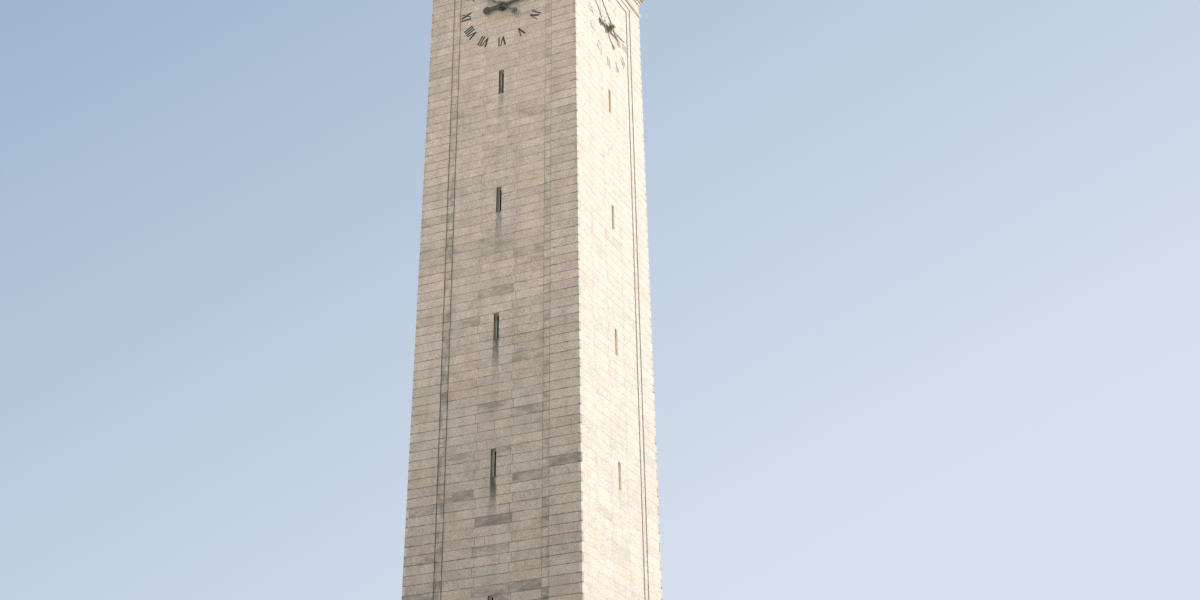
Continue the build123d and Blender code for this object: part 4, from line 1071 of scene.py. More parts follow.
DY = -(half(2.0)) + 0.42
acc = Acc()
for sgn in (-1, 1):
    def dbox(x0, x1, y0, y1, z0, z1, c=0.004):
        a, b = sorted((sgn * x0, sgn * x1))
        plain_box(acc, 0, a, b, y0, y1, z0, z1, c=c)
    for z0_, z1_ in ((0.25, 0.95), (1.15, 1.65), (1.85, 2.35)):
        z0_, z1_ = FLOOR_TOP + z0_, FLOOR_TOP + z1_
        x0_, x1_ = 0.16, DOOR_W / 2 - 0.16
        w_ = 0.030
        for q in ((x0_, x1_, z0_, z0_ + w_), (x0_, x1_, z1_ - w_, z1_), (x0_, x0_ + w_, z0_, z1_), (x1_ - w_, x1_, z0_, z1_)):
            dbox(q[0], q[1], DY - 0.036, DY - 0.015, q[2], q[3])
        dbox(x0_ + 0.09, x1_ - 0.09, DY - 0.034, DY - 0.015, z0_ + 0.09, z1_ - 0.09, c=0.012)
    for z_ in [FLOOR_TOP + 0.07 + 0.1225 * i for i in range(21)]:
        for x_ in (0.075, DOOR_W / 2 - 0.075):
            if x_ < 0.1 and FLOOR_TOP + 0.92 < z_ < FLOOR_TOP + 1.28:
                continue
            lathe(acc, (sgn * x_, DY - 0.0, z_), [(0.017, -0.004), (0.017, 0.004), (0.013, 0.011), (0.006, 0.015)], 10, axis="y")
acc.make("door_frames_and_studs", [M_BRONZE_DOOR], slot="bronze", fix=True, smooth=40)

# string course under the frieze
acc = Acc()
z0_, z1_ = STRING_BOTTOM, STRING_TOP
hz_ = half(z0_)
sec = [(hz_ - 0.10, z0_ + 0.004), (hz_ + 0.020, z0_ + 0.004)] + arc(hz_ + 0.020, z0_ + 0.004, hz_ + 0.060, z0_ + 0.06, 0.25, 4) + [(hz_ + 0.060, z0_ + 0.07), (hz_ + 0.078, z0_ + 0.085), (hz_ + 0.078, z0_ + 0.21)]
sec += arc(hz_ + 0.072, z0_ + 0.22, hz_ + 0.016, z1_ - 0.004, 0.2, 4) + [(hz_ - 0.10, z1_ - 0.004)]
moulding(acc, sec, [-1, -0.62, -0.21, 0.2, 0.6, 1], gap=0.006)
acc.make("string_course_stones", [M_STONE_BLOCKS], slot="granite", replaces=("neck_moulding",), fix=True)

# main cornice: bed mould, dentils, modillions, corona and cyma
HT = half(60.96)
acc = Acc()
Z = SHAFT_TOP
sec = [(HT - 0.75, Z), (HT, Z), (HT + 0.02, Z + 0.015)] + arc(HT + 0.02, Z + 0.015, HT + 0.08, Z + 0.10, 0.22, 4) + [(HT + 0.08, Z + 0.19)] + arc(HT + 0.09, Z + 0.20, HT + 0.155, Z + 0.31, 0.25, 5)
sec += [(HT + 0.15, Z + 0.33), (HT + 0.15, Z + 0.97), (HT + 0.19, Z + 0.99), (HT + 0.21, Z + 1.04), (HT + 0.74, Z + 1.04), (HT + 0.74, Z + 1.055), (HT + 0.765, Z + 1.055), (HT + 0.765, Z + 1.03), (HT + 0.80, Z + 1.03),
        (HT + 0.80, Z + 1.31), (HT + 0.815, Z + 1.32), (HT + 0.815, Z + 1.35)] + arc(HT + 0.83, Z + 1.36, HT + 0.92, Z + 1.46, 0.22, 4) + arc(HT + 0.92, Z + 1.46, HT + 0.995, Z + 1.55, -0.2, 4)
sec += [(HT + 1.0, Z + 1.56), (HT + 1.0, DECK - 0.005), (HT - 0.75, DECK)]
moulding(acc, sec, [-1, -0.7, -0.42, -0.14, 0.14, 0.42, 0.7, 1], gap=0.006, stain=0.5)
acc.make("main_cornice_stones", [M_STONE_BLOCKS], slot="granite", replaces=("shaft_cornice",), fix=True)
acc = Acc()
for k_ in range(4):
    n_ = 43
    for i_ in range(n_):
        u_i = -(HT + 0.205) + 2 * (HT + 0.205) * i_ / (n_ - 1)
        if i_ in (0, n_ - 1) and k_ % 2:
            continue
        plain_box(acc, k_, u_i - 0.065, u_i + 0.065, -(HT + 0.27), -(HT + 0.11), Z + 0.38, Z + 0.59, c=0.006, col=(rng.random(), 0.4 * rng.random(), 0.5))
    n_ = 17
    for i_ in range(n_):
        u_i = -(HT + 0.42) + 2 * (HT + 0.42) * i_ / (n_ - 1)
        w_ = 0.12
        if i_ in (0, n_ - 1) and k_ % 2:
            continue
        pl = flat_place(k_)
        prof = [(HT + 0.13, Z + 0.68), (HT + 0.36, Z + 0.68), (HT + 0.42, Z + 0.705), (HT + 0.50, Z + 0.80), (HT + 0.58, Z + 0.84), (HT + 0.68, Z + 0.84), (HT + 0.70, Z + 0.88), (HT + 0.70, Z + 1.042), (HT + 0.13, Z + 1.042)]
        verts = []
        for u_j in (u_i - w_, u_i + w_):
            for h, z in prof:
                verts.append(pl(u_j, -h, z))
        m_ = len(prof)
        faces = [[j, m_ + j, m_ + (j + 1) % m_, (j + 1) % m_] for j in range(m_)] + [list(range(m_)), [m_ + j for j in range(m_)][::-1]]
        acc.add(verts, faces, 0, (rng.random(), 0.5 * rng.random(), 0.5), 1.0)
acc.make("main_cornice_dentils_modillions", [M_STONE_BLOCKS], slot="granite", fix=True)

# belfry: corner piers, columns, arcades
acc = Acc()
for k_ in range(4):
    own_even = k_ % 2 == 0
    for n_, (lo, hi) in enumerate([(DECK + 0.75 + i * 0.5214, DECK + 0.75 + (i + 1) * 0.5214) for i in range(11)]
                                  + [(DECK + 0.75 + 11 * 0.5214, SPRING - 0.30)] + [(SPRING + i * 0.475, SPRING + (i + 1) * 0.475) for i in range(4)]):
        if hi - lo < 0.1:
            continue
        own = (n_ % 2 == 0) == own_even
        for sgn in (-1, 1):
            e = BEL_HALF + PROUD if own else BEL_HALF + PROUD - 0.14
            b_in = BEL_PIER + 0.002 if n_ % 2 else BEL_PIER + 0.002
            cut = 3.25 if n_ % 2 else 3.6
            for a, b in ((b_in, cut), (cut, e)):
                q0, q1 = (a, b) if sgn > 0 else (-b, -a)
                stone(acc, k_, q0, q1, -PROUD, 0.14, lo, hi, h0=BEL_HALF, taper=0, gaps=(1 if sgn > 0 and a > b_in + 0.01 else (0 if sgn > 0 else (0 if b == e and own else 1)),
                      (0 if b == e and own else 1) if sgn > 0 else (1 if a > b_in + 0.01 else 0), 1, 1), stain=stain_value(40))
acc.make("belfry_pier_stones", [M_STONE_BLOCKS], slot="granite")

COL_X, COL_Y = 0.96, -3.85
face = Acc()
for sgn in (-1, 1):
    x_ = sgn * COL_X
    tone = (rng.random(), 0.2, rng.random())
    pl0 = (x_, COL_Y)

    def cbox(h, z0, z1, c=0.008):
        plain_box(face, 0, x_ - h, x_ + h, COL_Y - h, COL_Y + h, z0, z1, c=c, col=tone)
    cbox(0.28, DECK, DECK + 0.16, 0.012)
    cbox(0.235, DECK + 0.16, DECK + 1.02)
    for q in range(4):
        # raised margins leave a sunk panel on each face of the pedestal
        for u0_, u1_, za, zb in ((-0.235, -0.165, 0.16, 1.02), (0.165, 0.235, 0.16, 1.02), (-0.165, 0.165, 0.16, 0.25), (-0.165, 0.165, 0.93, 1.02)):
            def pq(u, d, z, q=q):
                ax, ay = turn(q, u, -0.255 + d)
                return (x_ + ax, COL_Y + ay, z)
            mapped(face, pq, (u0_, 0.0, DECK + za), (u1_, 0.03, DECK + zb), 0.003, tone, free=True)
    cbox(0.265, DECK + 1.02, DECK + 1.09, 0.012)
    cbox(0.28, DECK + 1.09, DECK + 1.20, 0.010)
    z = DECK + 1.20
    top = SPRING - 0.50
    prof = [(0.25, 0.0), (0.25, 0.01)] + [(0.222 + 0.028 * math.sin(t), 0.035 - 0.025 * math.cos(t)) for t in (0.6, 1.2, 1.57, 2.0, 2.6)] + [(0.225, 0.065), (0.215, 0.070), (0.208, 0.085), (0.212, 0.100), (0.222, 0.105)]
    prof += [(0.212 + 0.018 * math.sin(t), 0.122 - 0.016 * math.cos(t)) for t in (0.7, 1.57, 2.4)] + [(0.205, 0.145), (0.198, 0.17)]
    prof += [(0.197 - 0.017 * (i / 8) ** 1.8, 0.17 + (top - z - 0.17) * i / 8) for i in range(1, 9)]
    prof += [(0.185, top - z + 0.015), (0.196, top - z + 0.025), (0.196, top - z + 0.055), (0.180, top - z + 0.065), (0.178, top - z + 0.20), (0.190, top - z + 0.215), (0.190, top - z + 0.235)]
    prof += [(0.190 + 0.062 * math.sin(t), top - z + 0.355 - 0.115 * math.cos(t)) for t in (0.3, 0.7, 1.1, 1.5)]
    lathe(face, (x_, COL_Y, z), prof, 36, col=tone)
    cbox(0.28, SPRING - 0.14, SPRING - 0.05, 0.010)
    cbox(0.265, SPRING - 0.05, SPRING, 0.006)
all_faces(face).make("belfry_columns_turned", [M_STONE_BLOCKS], slot="granite", replaces=("belfry_columns",), fix=True, smooth=32)

face = Acc()
ARCH_R, BAYS = 0.68, (-1.92, 0.0, 1.92)
for bx in BAYS:
    n_ = 11
    for i_ in range(n_):
        t0, t1 = math.pi * i_ / n_ + 0.010, math.pi * (i_ + 1) / n_ - 0.010
        r0_, r1_, out = ARCH_R + 0.004, 0.935, 0.030
        if i_ == n_ // 2:
            r0_, r1_, out = ARCH_R - 0.04, 1.06, 0.075
        ol = [(bx + r * math.cos(t), SPRING + r * math.sin(t)) for r, t in ((r0_, t0), (r1_, t0), (r1_, (t0 + t1) / 2), (r1_, t1), (r0_, t1), (r0_, (t0 + t1) / 2))]
        prism(face, flat_place(0), ol, -4.18 - out, -4.10)
    # a raised roll round the arch
    segs = 28
    sec = [(0.005, 0.0), (0.030, -0.012), (0.052, 0.0), (0.052, 0.05), (0.005, 0.05)]
    verts = []
    for i_ in range(segs + 1):
        t = math.pi * i_ / segs
        for r, dpt in sec:
            verts.append((bx + (0.935 + r) * math.cos(t), -4.21 + dpt - 0.008, SPRING + (0.935 + r) * math.sin(t)))
    if bx == 0.0:
        pass
    # neighbouring rolls touch at the springing, so each one stops short of it
    m_ = len(sec)
    lo_i, hi_i = 3, segs - 3
    verts = verts[lo_i * m_:(hi_i + 1) * m_]
    cnt = hi_i - lo_i + 1
    faces = []
    for i_ in range(cnt - 1):
        for j in range(m_):
            faces.append([i_ * m_ + j, i_ * m_ + (j + 1) % m_, (i_ + 1) * m_ + (j + 1) % m_, (i_ + 1) * m_ + j])
    faces += [list(range(m_))[::-1], [(cnt - 1) * m_ + j for j in range(m_)]]
    face.add(verts, faces, 0, (0.5, 0.1, 0.5), 1.0)
# courses over and between the arches
for n_, (lo, hi) in enumerate(((SPRING + 1.12, SPRING + 1.5), (SPRING + 1.5, ARCADE_TOP))):
    us = [-BEL_PIER, -1.6, -0.5, 0.55, 1.65, BEL_PIER] if n_ % 2 else [-BEL_PIER, -1.1, 0.0, 1.1, BEL_PIER]
    for a, b in zip(us, us[1:]):
        stone(face, 0, a, b, -PROUD, 0.1, lo, hi, h0=4.18, taper=0, stain=stain_value(40))
all_faces(face).make("arcade_voussoirs_and_stones", [M_STONE_BLOCKS], slot="granite", fix=True)

face = Acc()
for x0_, x1_ in ((-BEL_PIER, -COL_X - 0.28), (-COL_X + 0.28, COL_X - 0.28), (COL_X + 0.28, BEL_PIER)):
    plain_box(face, 0, x0_, x1_, -4.02, -3.68, DECK, DECK + 0.11, c=0.012)
    plain_box(face, 0, x0_, x1_, -3.995, -3.705, DECK + 0.11, DECK + 0.16, c=0.012)
    plain_box(face, 0, x0_, x1_, -3.99, -3.71, DECK + 0.90, DECK + 0.945, c=0.010)
    plain_box(face, 0, x0_, x1_, -4.02, -3.68, DECK + 0.945, DECK + 1.06, c=0.022)
    for i_ in range(5):
        x_ = x0_ + (x1_ - x0_) / 5 * (i_ + 0.5)
        plain_box(face, 0, x_ - 0.065, x_ + 0.065, -3.915, -3.785, DECK + 0.16, DECK + 0.20, c=0.004)
        baluster(face, x_, -3.85, DECK + 0.20, DECK + 0.86, 0.066, 16)
        plain_box(face, 0, x_ - 0.065, x_ + 0.065, -3.915, -3.785, DECK + 0.86, DECK + 0.90, c=0.004)
all_faces(face).make("belfry_balusters_turned", [M_STONE_BLOCKS], slot="granite", replaces=("belfry_balustrades",), fix=True, smooth=35)

# entablature with its dentils, and the roof parapet
BH = 4.18
A = ARCADE_TOP
acc = Acc()
sec = [(3.52, A), (BH + 0.12, A), (BH + 0.12, A + 0.13), (BH + 0.138, A + 0.135), (BH + 0.138, A + 0.27)] + arc(BH + 0.145, A + 0.28, BH + 0.17, A + 0.32, 0.2, 3) + [(BH + 0.17, A + 0.46), (BH + 0.15, A + 0.475), (BH + 0.12, A + 0.50), (BH + 0.12, A + 0.94)]
sec += arc(BH + 0.13, A + 0.95, BH + 0.22, A + 1.06, 0.22, 4) + [(BH + 0.225, A + 1.08), (BH + 0.225, A + 1.30), (BH + 0.26, A + 1.32), (BH + 0.62, A + 1.32), (BH + 0.62, A + 1.31), (BH + 0.66, A + 1.31), (BH + 0.66, A + 1.50), (3.52, A + 1.50)]
moulding(acc, sec, [-1, -0.63, -0.26, 0.26, 0.63, 1], gap=0.006, stain=0.4)
acc.make("entablature_stones", [M_STONE_BLOCKS], slot="granite", replaces=("belfry_entablature",), fix=True)
acc = Acc()
for k_ in range(4):
    n_ = 43
    for i_ in range(n_):
        u_i = -(BH + 0.20) + 2 * (BH + 0.20) * i_ / (n_ - 1)
        if i_ in (0, n_ - 1) and k_ % 2:
            continue
        plain_box(acc, k_, u_i - 0.055, u_i + 0.055, -(BH + 0.33), -(BH + 0.19), A + 1.12, A + 1.27, c=0.005, col=(rng.random(), 0.3 * rng.random(), 0.5))
acc.make("entablature_dentils", [M_STONE_BLOCKS], slot="granite", fix=True)
acc = Acc()
z = A + 1.50
RE = BH + 0.014  # the edge stones wrap the roof slab
sec = [(BH, z - 0.005), (RE + 0.68, z - 0.005)] + arc(RE + 0.68, z, RE + 0.76, z + 0.11, 0.2, 4) + arc(RE + 0.76, z + 0.11, RE + 0.825, z + 0.22, -0.14, 4) + [(RE + 0.83, z + 0.225), (RE + 0.83, z + 0.285), (RE + 0.80, z + 0.305), (RE + 0.70, ROOF_TOP + 0.006), (BH, ROOF_TOP + 0.006)]
moulding(acc, sec, [-1, -0.63, -0.26, 0.26, 0.63, 1], gap=0.005, stain=0.4)
acc.make("roof_edge_stones", [M_STONE_BLOCKS], slot="granite", fix=True)

face = Acc()
y_ = -4.28
R0 = ROOF_TOP
plain_box(face, 0, -3.60, 3.60, y_ - 0.19, y_ + 0.19, R0, R0 + 0.14, c=0.014)
plain_box(face, 0, -3.60, 3.60, y_ - 0.165, y_ + 0.165, R0 + 0.14, R0 + 0.20, c=0.012)
plain_box(face, 0, -3.60, 3.60, y_ - 0.165, y_ + 0.165, R0 + 0.85, R0 + 0.90, c=0.010)
plain_box(face, 0, -3.60, 3.60, y_ - 0.19, y_ + 0.19, R0 + 0.90, R0 + 1.05, c=0.030)
for i_ in range(15):
    x_ = -3.60 + 7.2 * (i_ + 0.5) / 15
    if i_ in (4, 10):
        plain_box(face, 0, x_ - 0.22, x_ + 0.22, y_ - 0.14, y_ + 0.14, R0 + 0.20, R0 + 0.85, c=0.008)
        for a, b in ((-0.228, -0.15), (0.15, 0.228)):
            plain_box(face, 0, x_ + a, x_ + b, y_ - 0.16, y_ + 0.16, R0 + 0.195, R0 + 0.855, c=0.006)
        for a, b in ((0.19, 0.28), (0.77, 0.86)):
            plain_box(face, 0, x_ - 0.155, x_ + 0.155, y_ - 0.157, y_ + 0.157, R0 + a, R0 + b, c=0.006)
    else:
        plain_box(face, 0, x_ - 0.075, x_ + 0.075, y_ - 0.075, y_ + 0.075, R0 + 0.20, R0 + 0.235, c=0.005)
        baluster(face, x_, y_, R0 + 0.235, R0 + 0.815, 0.075, 16)
        plain_box(face, 0, x_ - 0.075, x_ + 0.075, y_ - 0.075, y_ + 0.075, R0 + 0.815, R0 + 0.85, c=0.005)
all_faces(face).make("roof_parapet_turned", [M_STONE_BLOCKS], slot="granite", replaces=("roof_parapet",), fix=True, smooth=35)

# obelisks: moulded pedestal, sunk panels, five stones, cap; and the flames
OB = 4.12
face, fire = Acc(), Acc()


def stack(acc, z0, z1, h0, h1, c=0.010, gap=0.004, stain=0.3):
    """A stone whose half width goes from h0 to h1, on the obelisk's axis."""
    def place(u, d, z):
        t = (z - z0) / (z1 - z0)
        h = h0 + (h1 - h0) * t
        return (OB + u * h, -OB + d * h, z)
    m = (h0 + h1) / 2
    mapped(acc, place, (-1, -1, z0 + gap), (1, 1, z1 - gap), (c / m, c / m, c), (rng.random(), rng.random() if rng.random() < stain else 0.0, rng.random()), free=True)


def obelisk_panel(acc, q, u0, u1, out0, out1, z0, z1, c=0.005):
    def place(u, d, z):
        ax, ay = turn(q, u, -out1 + d)
        return (OB + ax, -OB + ay, z)
    mapped(acc, place, (u0, 0.0, z0), (u1, out1 - out0, z1), c, (0.5, 0.1, 0.5), free=True)


stack(face, R0, R0 + 0.18, 0.52, 0.52, 0.014)
stack(face, R0 + 0.18, R0 + 1.02, 0.47, 0.47)
for q_ in range(4):
    for a, b, za, zb in ((-0.47, -0.36, 0.18, 1.02), (0.36, 0.47, 0.18, 1.02), (-0.36, 0.36, 0.18, 0.29), (-0.36, 0.36, 0.91, 1.02)):
        obelisk_panel(face, q_, a, b, 0.44, 0.495, R0 + za, R0 + zb)
    obelisk_panel(face, q_, -0.25, 0.25, 0.44, 0.488, R0 + 0.40, R0 + 0.80, c=0.012)
stack(face, R0 + 1.02, R0 + 1.09, 0.49, 0.53, 0.008)
stack(face, R0 + 1.09, R0 + 1.20, 0.575, 0.58, 0.012)
stack(face, R0 + 1.20, R0 + 1.26, 0.57, 0.48, 0.008)
stack(face, R0 + 1.26, R0 + 1.38, 0.44, 0.44, 0.010)
stack(face, R0 + 1.38, R0 + 1.46, 0.43, 0.385, 0.008)
hs = [0.36 - (0.36 - 0.17) * i / 5 for i in range(6)]
for i_ in range(5):
    za, zb = R0 + 1.46 + 3.84 * i_ / 5, R0 + 1.46 + 3.84 * (i_ + 1) / 5
    stack(face, za, zb, hs[i_], hs[i_ + 1], 0.007)
stack(face, R0 + 5.30, R0 + 5.35, 0.18, 0.215, 0.006)
stack(face, R0 + 5.35, R0 + 5.42, 0.22, 0.20, 0.008)
all_faces(face).make("obelisks_in_stones", [M_STONE_BLOCKS], slot="granite", replaces=("corner_obelisks",), fix=True)
prof = [(0.12, 0.0), (0.12, 0.02), (0.085, 0.045), (0.06, 0.07), (0.07, 0.10), (0.105, 0.15), (0.135, 0.20), (0.155, 0.26), (0.165, 0.33), (0.165, 0.40), (0.15, 0.48), (0.125, 0.56),
        (0.098, 0.65), (0.072, 0.74), (0.048, 0.83), (0.026, 0.92), (0.004, 0.995)]
lathe(fire, (OB, -OB, R0 + 5.42), prof, 36, wave=lambda a, h: 1.0 if h < 0.12 else 1.0 - 0.16 * (0.5 + 0.5 * math.cos(6 * a + 5.0 * h)) * min(1.0, (h - 0.12) * 5))
all_faces(fire).make("flames_twisted", [M_BRONZE_PALE], slot="bronze", replaces=("obelisk_flames",), fix=True, smooth=50)

# attic under the spire, and the spire
acc = Acc()
sec = [(2.50, R0), (3.05, R0), (3.05, R0 + 0.34)] + arc(3.05, R0 + 0.36, 2.945, R0 + 0.54, 0.18, 5) + [(2.93, R0 + 0.55), (2.50, R0 + 0.55)]
moulding(acc, sec, [-1, -0.5, 0.05, 0.55, 1], gap=0.005)
sec = [(2.50, ATTIC_TOP - 0.56), (2.93, ATTIC_TOP - 0.56)] + arc(2.93, ATTIC_TOP - 0.55, 3.015, ATTIC_TOP - 0.44, 0.2, 4) + [(3.02, ATTIC_TOP - 0.43), (3.02, ATTIC_TOP - 0.31)]
sec += arc(3.03, ATTIC_TOP - 0.30, 3.18, ATTIC_TOP - 0.18, -0.2, 4) + [(3.20, ATTIC_TOP - 0.17), (3.20, ATTIC_TOP - 0.02), (3.18, ATTIC_TOP), (2.50, ATTIC_TOP)]
moulding(acc, sec, [-1, -0.45, 0.05, 0.5, 1], gap=0.005)
for k_ in range(4):
    for n_ in range(4):
        lo, hi = R0 + 0.55 + n_ * 0.4225, R0 + 0.55 + (n_ + 1) * 0.4225
        e = 2.92 if (n_ + k_) % 2 else 2.92 - 0.3
        us = [-e, -1.55, -0.2, 1.2, e] if n_ % 2 else [-e, -0.95, 0.6, 1.8, e]
        for a, b in zip(us, us[1:]):
            stone(acc, k_, a, b, -0.006, 0.3, lo, hi, h0=2.92, taper=0, stain=stain_value(40), gaps=(0 if a == -2.92 else 1, 0 if b == 2.92 else 1, 1, 1))
acc.make("attic_stones", [M_STONE_BLOCKS], slot="granite", replaces=("spire_base",), fix=True)

acc = Acc()
SL = (2.90 - 0.66) / (SPIRE_TOP - ATTIC_TOP)
H0S = 2.90 + SL * ATTIC_TOP
n_c = 24
for k_ in range(4):
    for n_ in range(n_c):
        lo = ATTIC_TOP + (SPIRE_TOP - ATTIC_TOP) * n_ / n_c
        hi = ATTIC_TOP + (SPIRE_TOP - ATTIC_TOP) * (n_ + 1) / n_c
        w_ = H0S - SL * lo
        own = (n_ + k_) % 2 == 0
        inner = 0.30 * w_
        seam = rng.uniform(-0.12, 0.12)
        corner = H0S + 0.006
        left = (-corner, -(corner + -0.42 - (0.25 if n_ % 2 else 0.0)))
        # stones next to the corners follow the slope; the one in the middle has straight ends
        q = 0.72 if n_ % 2 else 0.46
        m_edge = max(w_ - q, 0.18)
        for sgn in (-1, 1):
            if own:
                u_out, g_out = corner, 0
            else:
                u_out, g_out = corner - 0.15, 1
            a_, b_ = m_edge, u_out

            def place(u, d, z, k=k_, s=sgn, me=m_edge, uo=u_out):
                # u runs from 0 at the inner end to 1 at the corner
                x = me + (uo - SL * z - me) * u
                y = -(H0S - SL * z) + d
                X, Y = turn(k, s * x, y)
                return (X, Y, z)
            ga = 0.008 / max(0.2, w_ - m_edge)
            lo_u, hi_u = ga, 1.0 - (ga if g_out else 0.0)
            cu = 0.007 / max(0.2, w_ - m_edge)
            verts0 = len(acc.v)
            mapped(acc, place, (lo_u, -0.006, lo + 0.008), (hi_u, 0.15, hi - 0.008), (cu, 0.007, 0.007), (rng.random(), stain_value(30), rng.random()))
        if m_edge > 0.75:
            for a, b in ((-m_edge, seam), (seam, m_edge)):
                stone(acc, k_, a, b, -0.006, 0.15, lo, hi, h0=H0S, taper=SL, stain=stain_value(30))
        else:
            stone(acc, k_, -m_edge, m_edge, -0.006, 0.15, lo, hi, h0=H0S, taper=SL, stain=stain_value(30))
acc.make("spire_stones", [M_STONE_BLOCKS], slot="granite", fix=True)

acc = Acc()
S = SPIRE_TOP
sec = [(0.50, S - 0.01), (0.73, S - 0.01), (0.73, S)] + arc(0.73, S, 0.845, S + 0.12, -0.2, 4) + [(0.85, S + 0.13), (0.85, S + 0.21)] + arc(0.84, S + 0.22, 0.712, S + 0.30, -0.15, 3) + [(0.71, S + 0.66)]
sec += arc(0.715, S + 0.665, 0.82, S + 0.76, 0.2, 4) + [(0.828, S + 0.77), (0.828, LANTERN_Z - 0.01), (0.80, LANTERN_Z + 0.003), (0.50, LANTERN_Z + 0.003)]
moulding(acc, sec, [-1, 0, 1], gap=0.004, stain=0.5)
acc.make("lantern_base_stones", [M_STONE_BLOCKS], slot="granite", fix=True)

# lantern
acc = Acc()
L = LANTERN_Z


def octagon_ring(acc, pts, inner):
    """An eight-sided ring; pts are (radius, height) outside from bottom to top."""
    prof = pts + [(inner, pts[-1][1]), (inner, pts[0][1])]
    lathe(acc, (0, 0, 0), prof, 8, closed=True)


octagon_ring(acc, [(0.66, L), (0.66, L + 0.06), (0.63, L + 0.075), (0.60, L + 0.14)], 0.44)
octagon_ring(acc, [(0.60, L + 2.0), (0.62, L + 2.05), (0.66, L + 2.08), (0.66, L + 2.20)], 0.44)
for i_ in range(8):
    t = 2 * math.pi * (i_ + 0.5) / 8
    x_, yy = 0.54 * math.cos(t), 0.54 * math.sin(t)
    lathe(acc, (x_, yy, L + 0.14), [(0.060, 0), (0.060, 0.05), (0.045, 0.07), (0.050, 0.09), (0.036, 0.12), (0.034, 0.9), (0.032, 1.68), (0.044, 1.71), (0.036, 1.73), (0.056, 1.80), (0.060, 1.86)], 16)
    for zz in (0.62, 1.24):
        x2, y2 = 0.54 * math.cos(t + math.pi / 4), 0.54 * math.sin(t + math.pi / 4)
        dx, dy = x2 - x_, y2 - yy
        ln = math.hypot(dx, dy)
        tx, ty = dx / ln, dy / ln
        w_ = 0.014
        verts = []
        for f0 in (0.03, ln - 0.03):
            for sx_, sz_ in ((-1, -1), (1, -1), (1, 1), (-1, 1)):
                verts.append((x_ + tx * f0 - ty * w_ * sx_, yy + ty * f0 + tx * w_ * sx_, L + 0.14 + zz + w_ * sz_))
        acc.add(verts, [[0, 1, 5, 4], [1, 2, 6, 5], [2, 3, 7, 6], [3, 0, 4, 7], [3, 2, 1, 0], [4, 5, 6, 7]])
acc.make("lantern_cage_cast", [M_BRONZE_PALE], slot="bronze", replaces=("lantern_cage",), fix=True, smooth=35)

acc = Acc()
T0 = LANTERN_Z + 2.20
prof = [(0.70, 0.0), (0.72, 0.015), (0.72, 0.055), (0.70, 0.075), (0.675, 0.10), (0.645, 0.16), (0.60, 0.24), (0.54, 0.32), (0.475, 0.40), (0.405, 0.47), (0.33, 0.53), (0.25, 0.585), (0.17, 0.635), (0.10, 0.68), (0.075, 0.71)]
lathe(acc, (0, 0, T0), prof, 64, wave=lambda a, h: 1.0 if h < 0.09 or h > 0.66 else 1.0 - 0.035 * (1 - max(0.0, math.cos(8 * a)) ** 10))
prof = [(0.09, 0.70), (0.055, 0.74), (0.050, 0.93), (0.065, 0.95), (0.065, 0.97), (0.050, 0.99)] + [(0.05 + 0.12 * math.sin(t), 1.20 - 0.20 * math.cos(t)) for t in (0.25, 0.5, 0.8, 1.1, 1.4, 1.7, 2.0, 2.3, 2.6, 2.85)]
prof += [(0.055, 1.41), (0.075, 1.43), (0.055, 1.455), (0.040, 1.50), (0.036, 1.60), (0.030, 1.80), (0.022, 1.98), (0.012, TOTAL - T0 - 0.02), (0.004, TOTAL - T0 - 0.001)]
lathe(acc, (0, 0, T0), prof, 28)
acc.make("lantern_roof_ribbed", [M_BRONZE_PALE], slot="bronze", replaces=("lantern_roof_and_finial",), fix=True, smooth=35)

# rosettes at the dials' centres, with the arbor and its cap
face = Acc()
ctr = (0.0, PANEL_Y, DIAL_Z)
lathe(face, ctr, [(0.30, -0.03), (0.335, -0.01), (0.335, 0.020), (0.325, 0.034), (0.30, 0.040), (0.26, 0.030), (0.242, 0.032)], 48, axis="y", wave=lambda a, h: 1.0 - 0.055 * abs(math.sin(6 * a)))
lathe(face, ctr, [(0.235, 0.02), (0.24, 0.03), (0.238, 0.050), (0.225, 0.062), (0.20, 0.066), (0.17, 0.066)], 40, axis="y")
lathe(face, ctr, [(0.155, 0.05), (0.16, 0.06), (0.16, 0.085), (0.15, 0.098), (0.12, 0.10)], 36, axis="y")
lathe(face, ctr, [(ARBOR_R, 0.08), (ARBOR_R, 0.45)], 32, axis="y")
lathe(face, ctr, [(0.12, 0.449), (0.149, 0.455), (0.148, 0.466), (0.130, 0.482), (0.10, 0.492), (0.055, 0.498), (0.004, 0.4999)], 32, axis="y")
join([spin(face, 0), spin(face, 2)]).make("dial_rosettes_front_back", [M_BRONZE_MINUTE], slot="bronze", replaces=("dial_centres",), fix=True, smooth=35)
# the side faces' rosettes in bronze painted pale, as if in bright sun (painted light)
join([spin(face, 1), spin(face, 3)]).make("dial_rosettes_right_left", [M_BRONZE_PAINTED_LIT], slot="bronze", fix=True, smooth=35)

# ---------------------------------------------------------------- camera, light, floor
cam_data = bpy.data.cameras.new("camera")
cam = bpy.data.objects.new("camera", cam_data)
bpy.context.scene.collection.objects.link(cam)
bpy.context.scene.camera = cam
cam_data.sensor_width = 36.0
cam_data.lens = 49.016
cam_data.clip_start, cam_data.clip_end = 0.05, 400.0
yaw, pitch, roll = -0.427149, 0.438019, -0.013289
d_ = Vector((math.sin(yaw) * math.cos(pitch), math.cos(yaw) * math.cos(pitch), math.sin(pitch)))
r_ = Vector((math.cos(yaw), -math.sin(yaw), 0.0))
u_ = r_.cross(d_)
r2 = r_ * math.cos(roll) + u_ * math.sin(roll)
u2 = u_ * math.cos(roll) - r_ * math.sin(roll)
cam.matrix_world = Matrix(((r2.x, u2.x, -d_.x, 3.7474), (r2.y, u2.y, -d_.y, -7.3875), (r2.z, u2.z, -d_.z, 0.0496), (0, 0, 0, 1)))

world = bpy.data.worlds.new("studio")
bpy.context.scene.world = world
world.use_nodes = True
bg = world.node_tree.nodes["Background"]
bg.inputs[1].default_value = 1.0
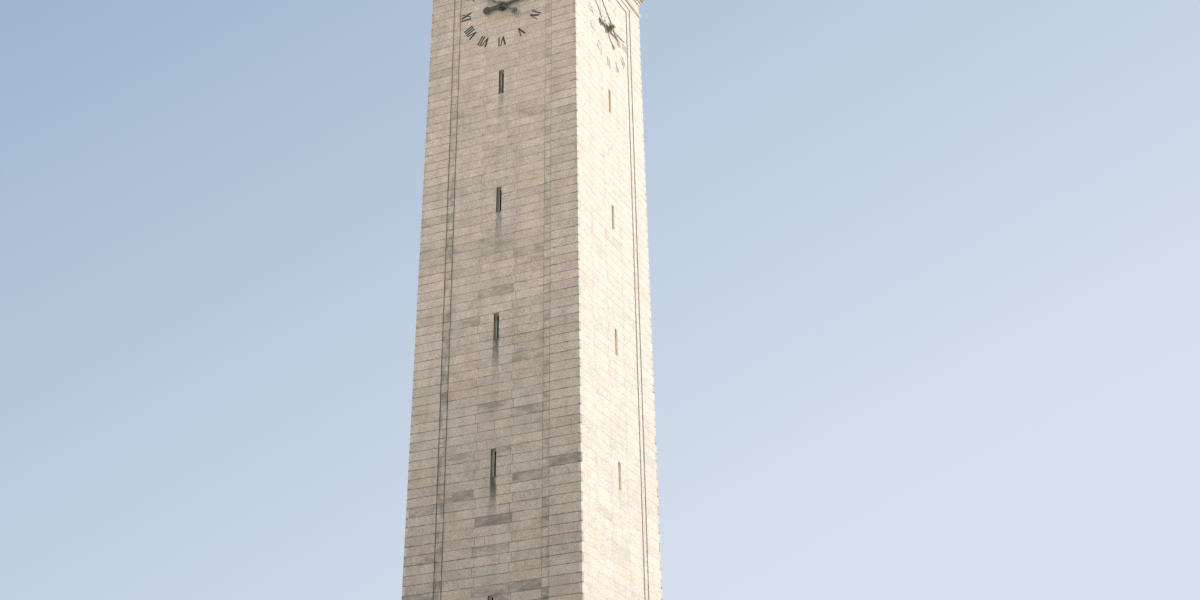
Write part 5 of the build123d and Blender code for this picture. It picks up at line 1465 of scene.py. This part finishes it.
# plain sky light, paler towards the horizon and the right
wt = world.node_tree
sky_at = wt.nodes.new("ShaderNodeTexCoord").outputs["Generated"]
across = wt.nodes.new("ShaderNodeVectorMath")
across.operation = "DOT_PRODUCT"
wt.links.new(sky_at, across.inputs[0])
across.inputs[1].default_value = (u2 * 0.872 - r2 * 0.490)[:]
grade = wt.nodes.new("ShaderNodeMapRange")
wt.links.new(across.outputs["Value"], grade.inputs["Value"])
grade.inputs["From Min"].default_value = -1.0
grade.inputs["From Max"].default_value = 1.0
tone = wt.nodes.new("ShaderNodeValToRGB")
wt.links.new(grade.outputs["Result"], tone.inputs[0])
stops = tone.color_ramp.elements
stops[0].position, stops[0].color = 0.40, (0.691, 0.754, 0.860, 1.0)
stops[1].position, stops[1].color = 0.66, (0.343, 0.463, 0.618, 1.0)
stops.new(0.78).color = (0.530, 0.630, 0.790, 1.0)
wt.links.new(tone.outputs[0], bg.inputs[0])

sun = bpy.data.lights.new("key", "SUN")
sun.energy = 5.6
sun.angle = math.radians(5.0)
sun.color = (1.0, 0.970, 0.920)
key = bpy.data.objects.new("key", sun)
key.rotation_mode = "QUATERNION"
key.rotation_quaternion = Vector((0.45, 0.33, 0.40)).to_track_quat("Z", "Y")
bpy.context.scene.collection.objects.link(key)

fill_light = bpy.data.lights.new("fill", "SUN")
fill_light.energy = 1.05
fill_light.angle = math.radians(75.0)
fill_light.color = (1.0, 0.86, 0.68)
fill = bpy.data.objects.new("fill", fill_light)
fill.rotation_mode = "QUATERNION"
fill.rotation_quaternion = Vector((-0.30, -0.90, 0.42)).to_track_quat("Z", "Y")
bpy.context.scene.collection.objects.link(fill)

fl = Look("floor_plaster")
fcol = fl.mix(fl.ramp(fl.noise(0.12, 4.0), 0.3, 0.7), (0.495, 0.475, 0.445), (0.505, 0.485, 0.455))
fl.done(fcol, fl.ramp(fl.noise(0.5, 3.0), 0.3, 0.7, 0.8, 0.95), Specular_IOR_Level=0.2)
floor_mesh = bpy.data.meshes.new("floor")
R_ = 45.0
floor_mesh.from_pydata([(R_ * math.cos(2 * math.pi * i / 96), R_ * math.sin(2 * math.pi * i / 96), -0.0005) for i in range(96)], [], [list(range(96))])
floor_mesh.materials.append(fl.mat)
floor = bpy.data.objects.new("floor", floor_mesh)
bpy.context.scene.collection.objects.link(floor)

bpy.context.scene.view_settings.view_transform = "Standard"
bpy.context.scene.view_settings.look = "None"
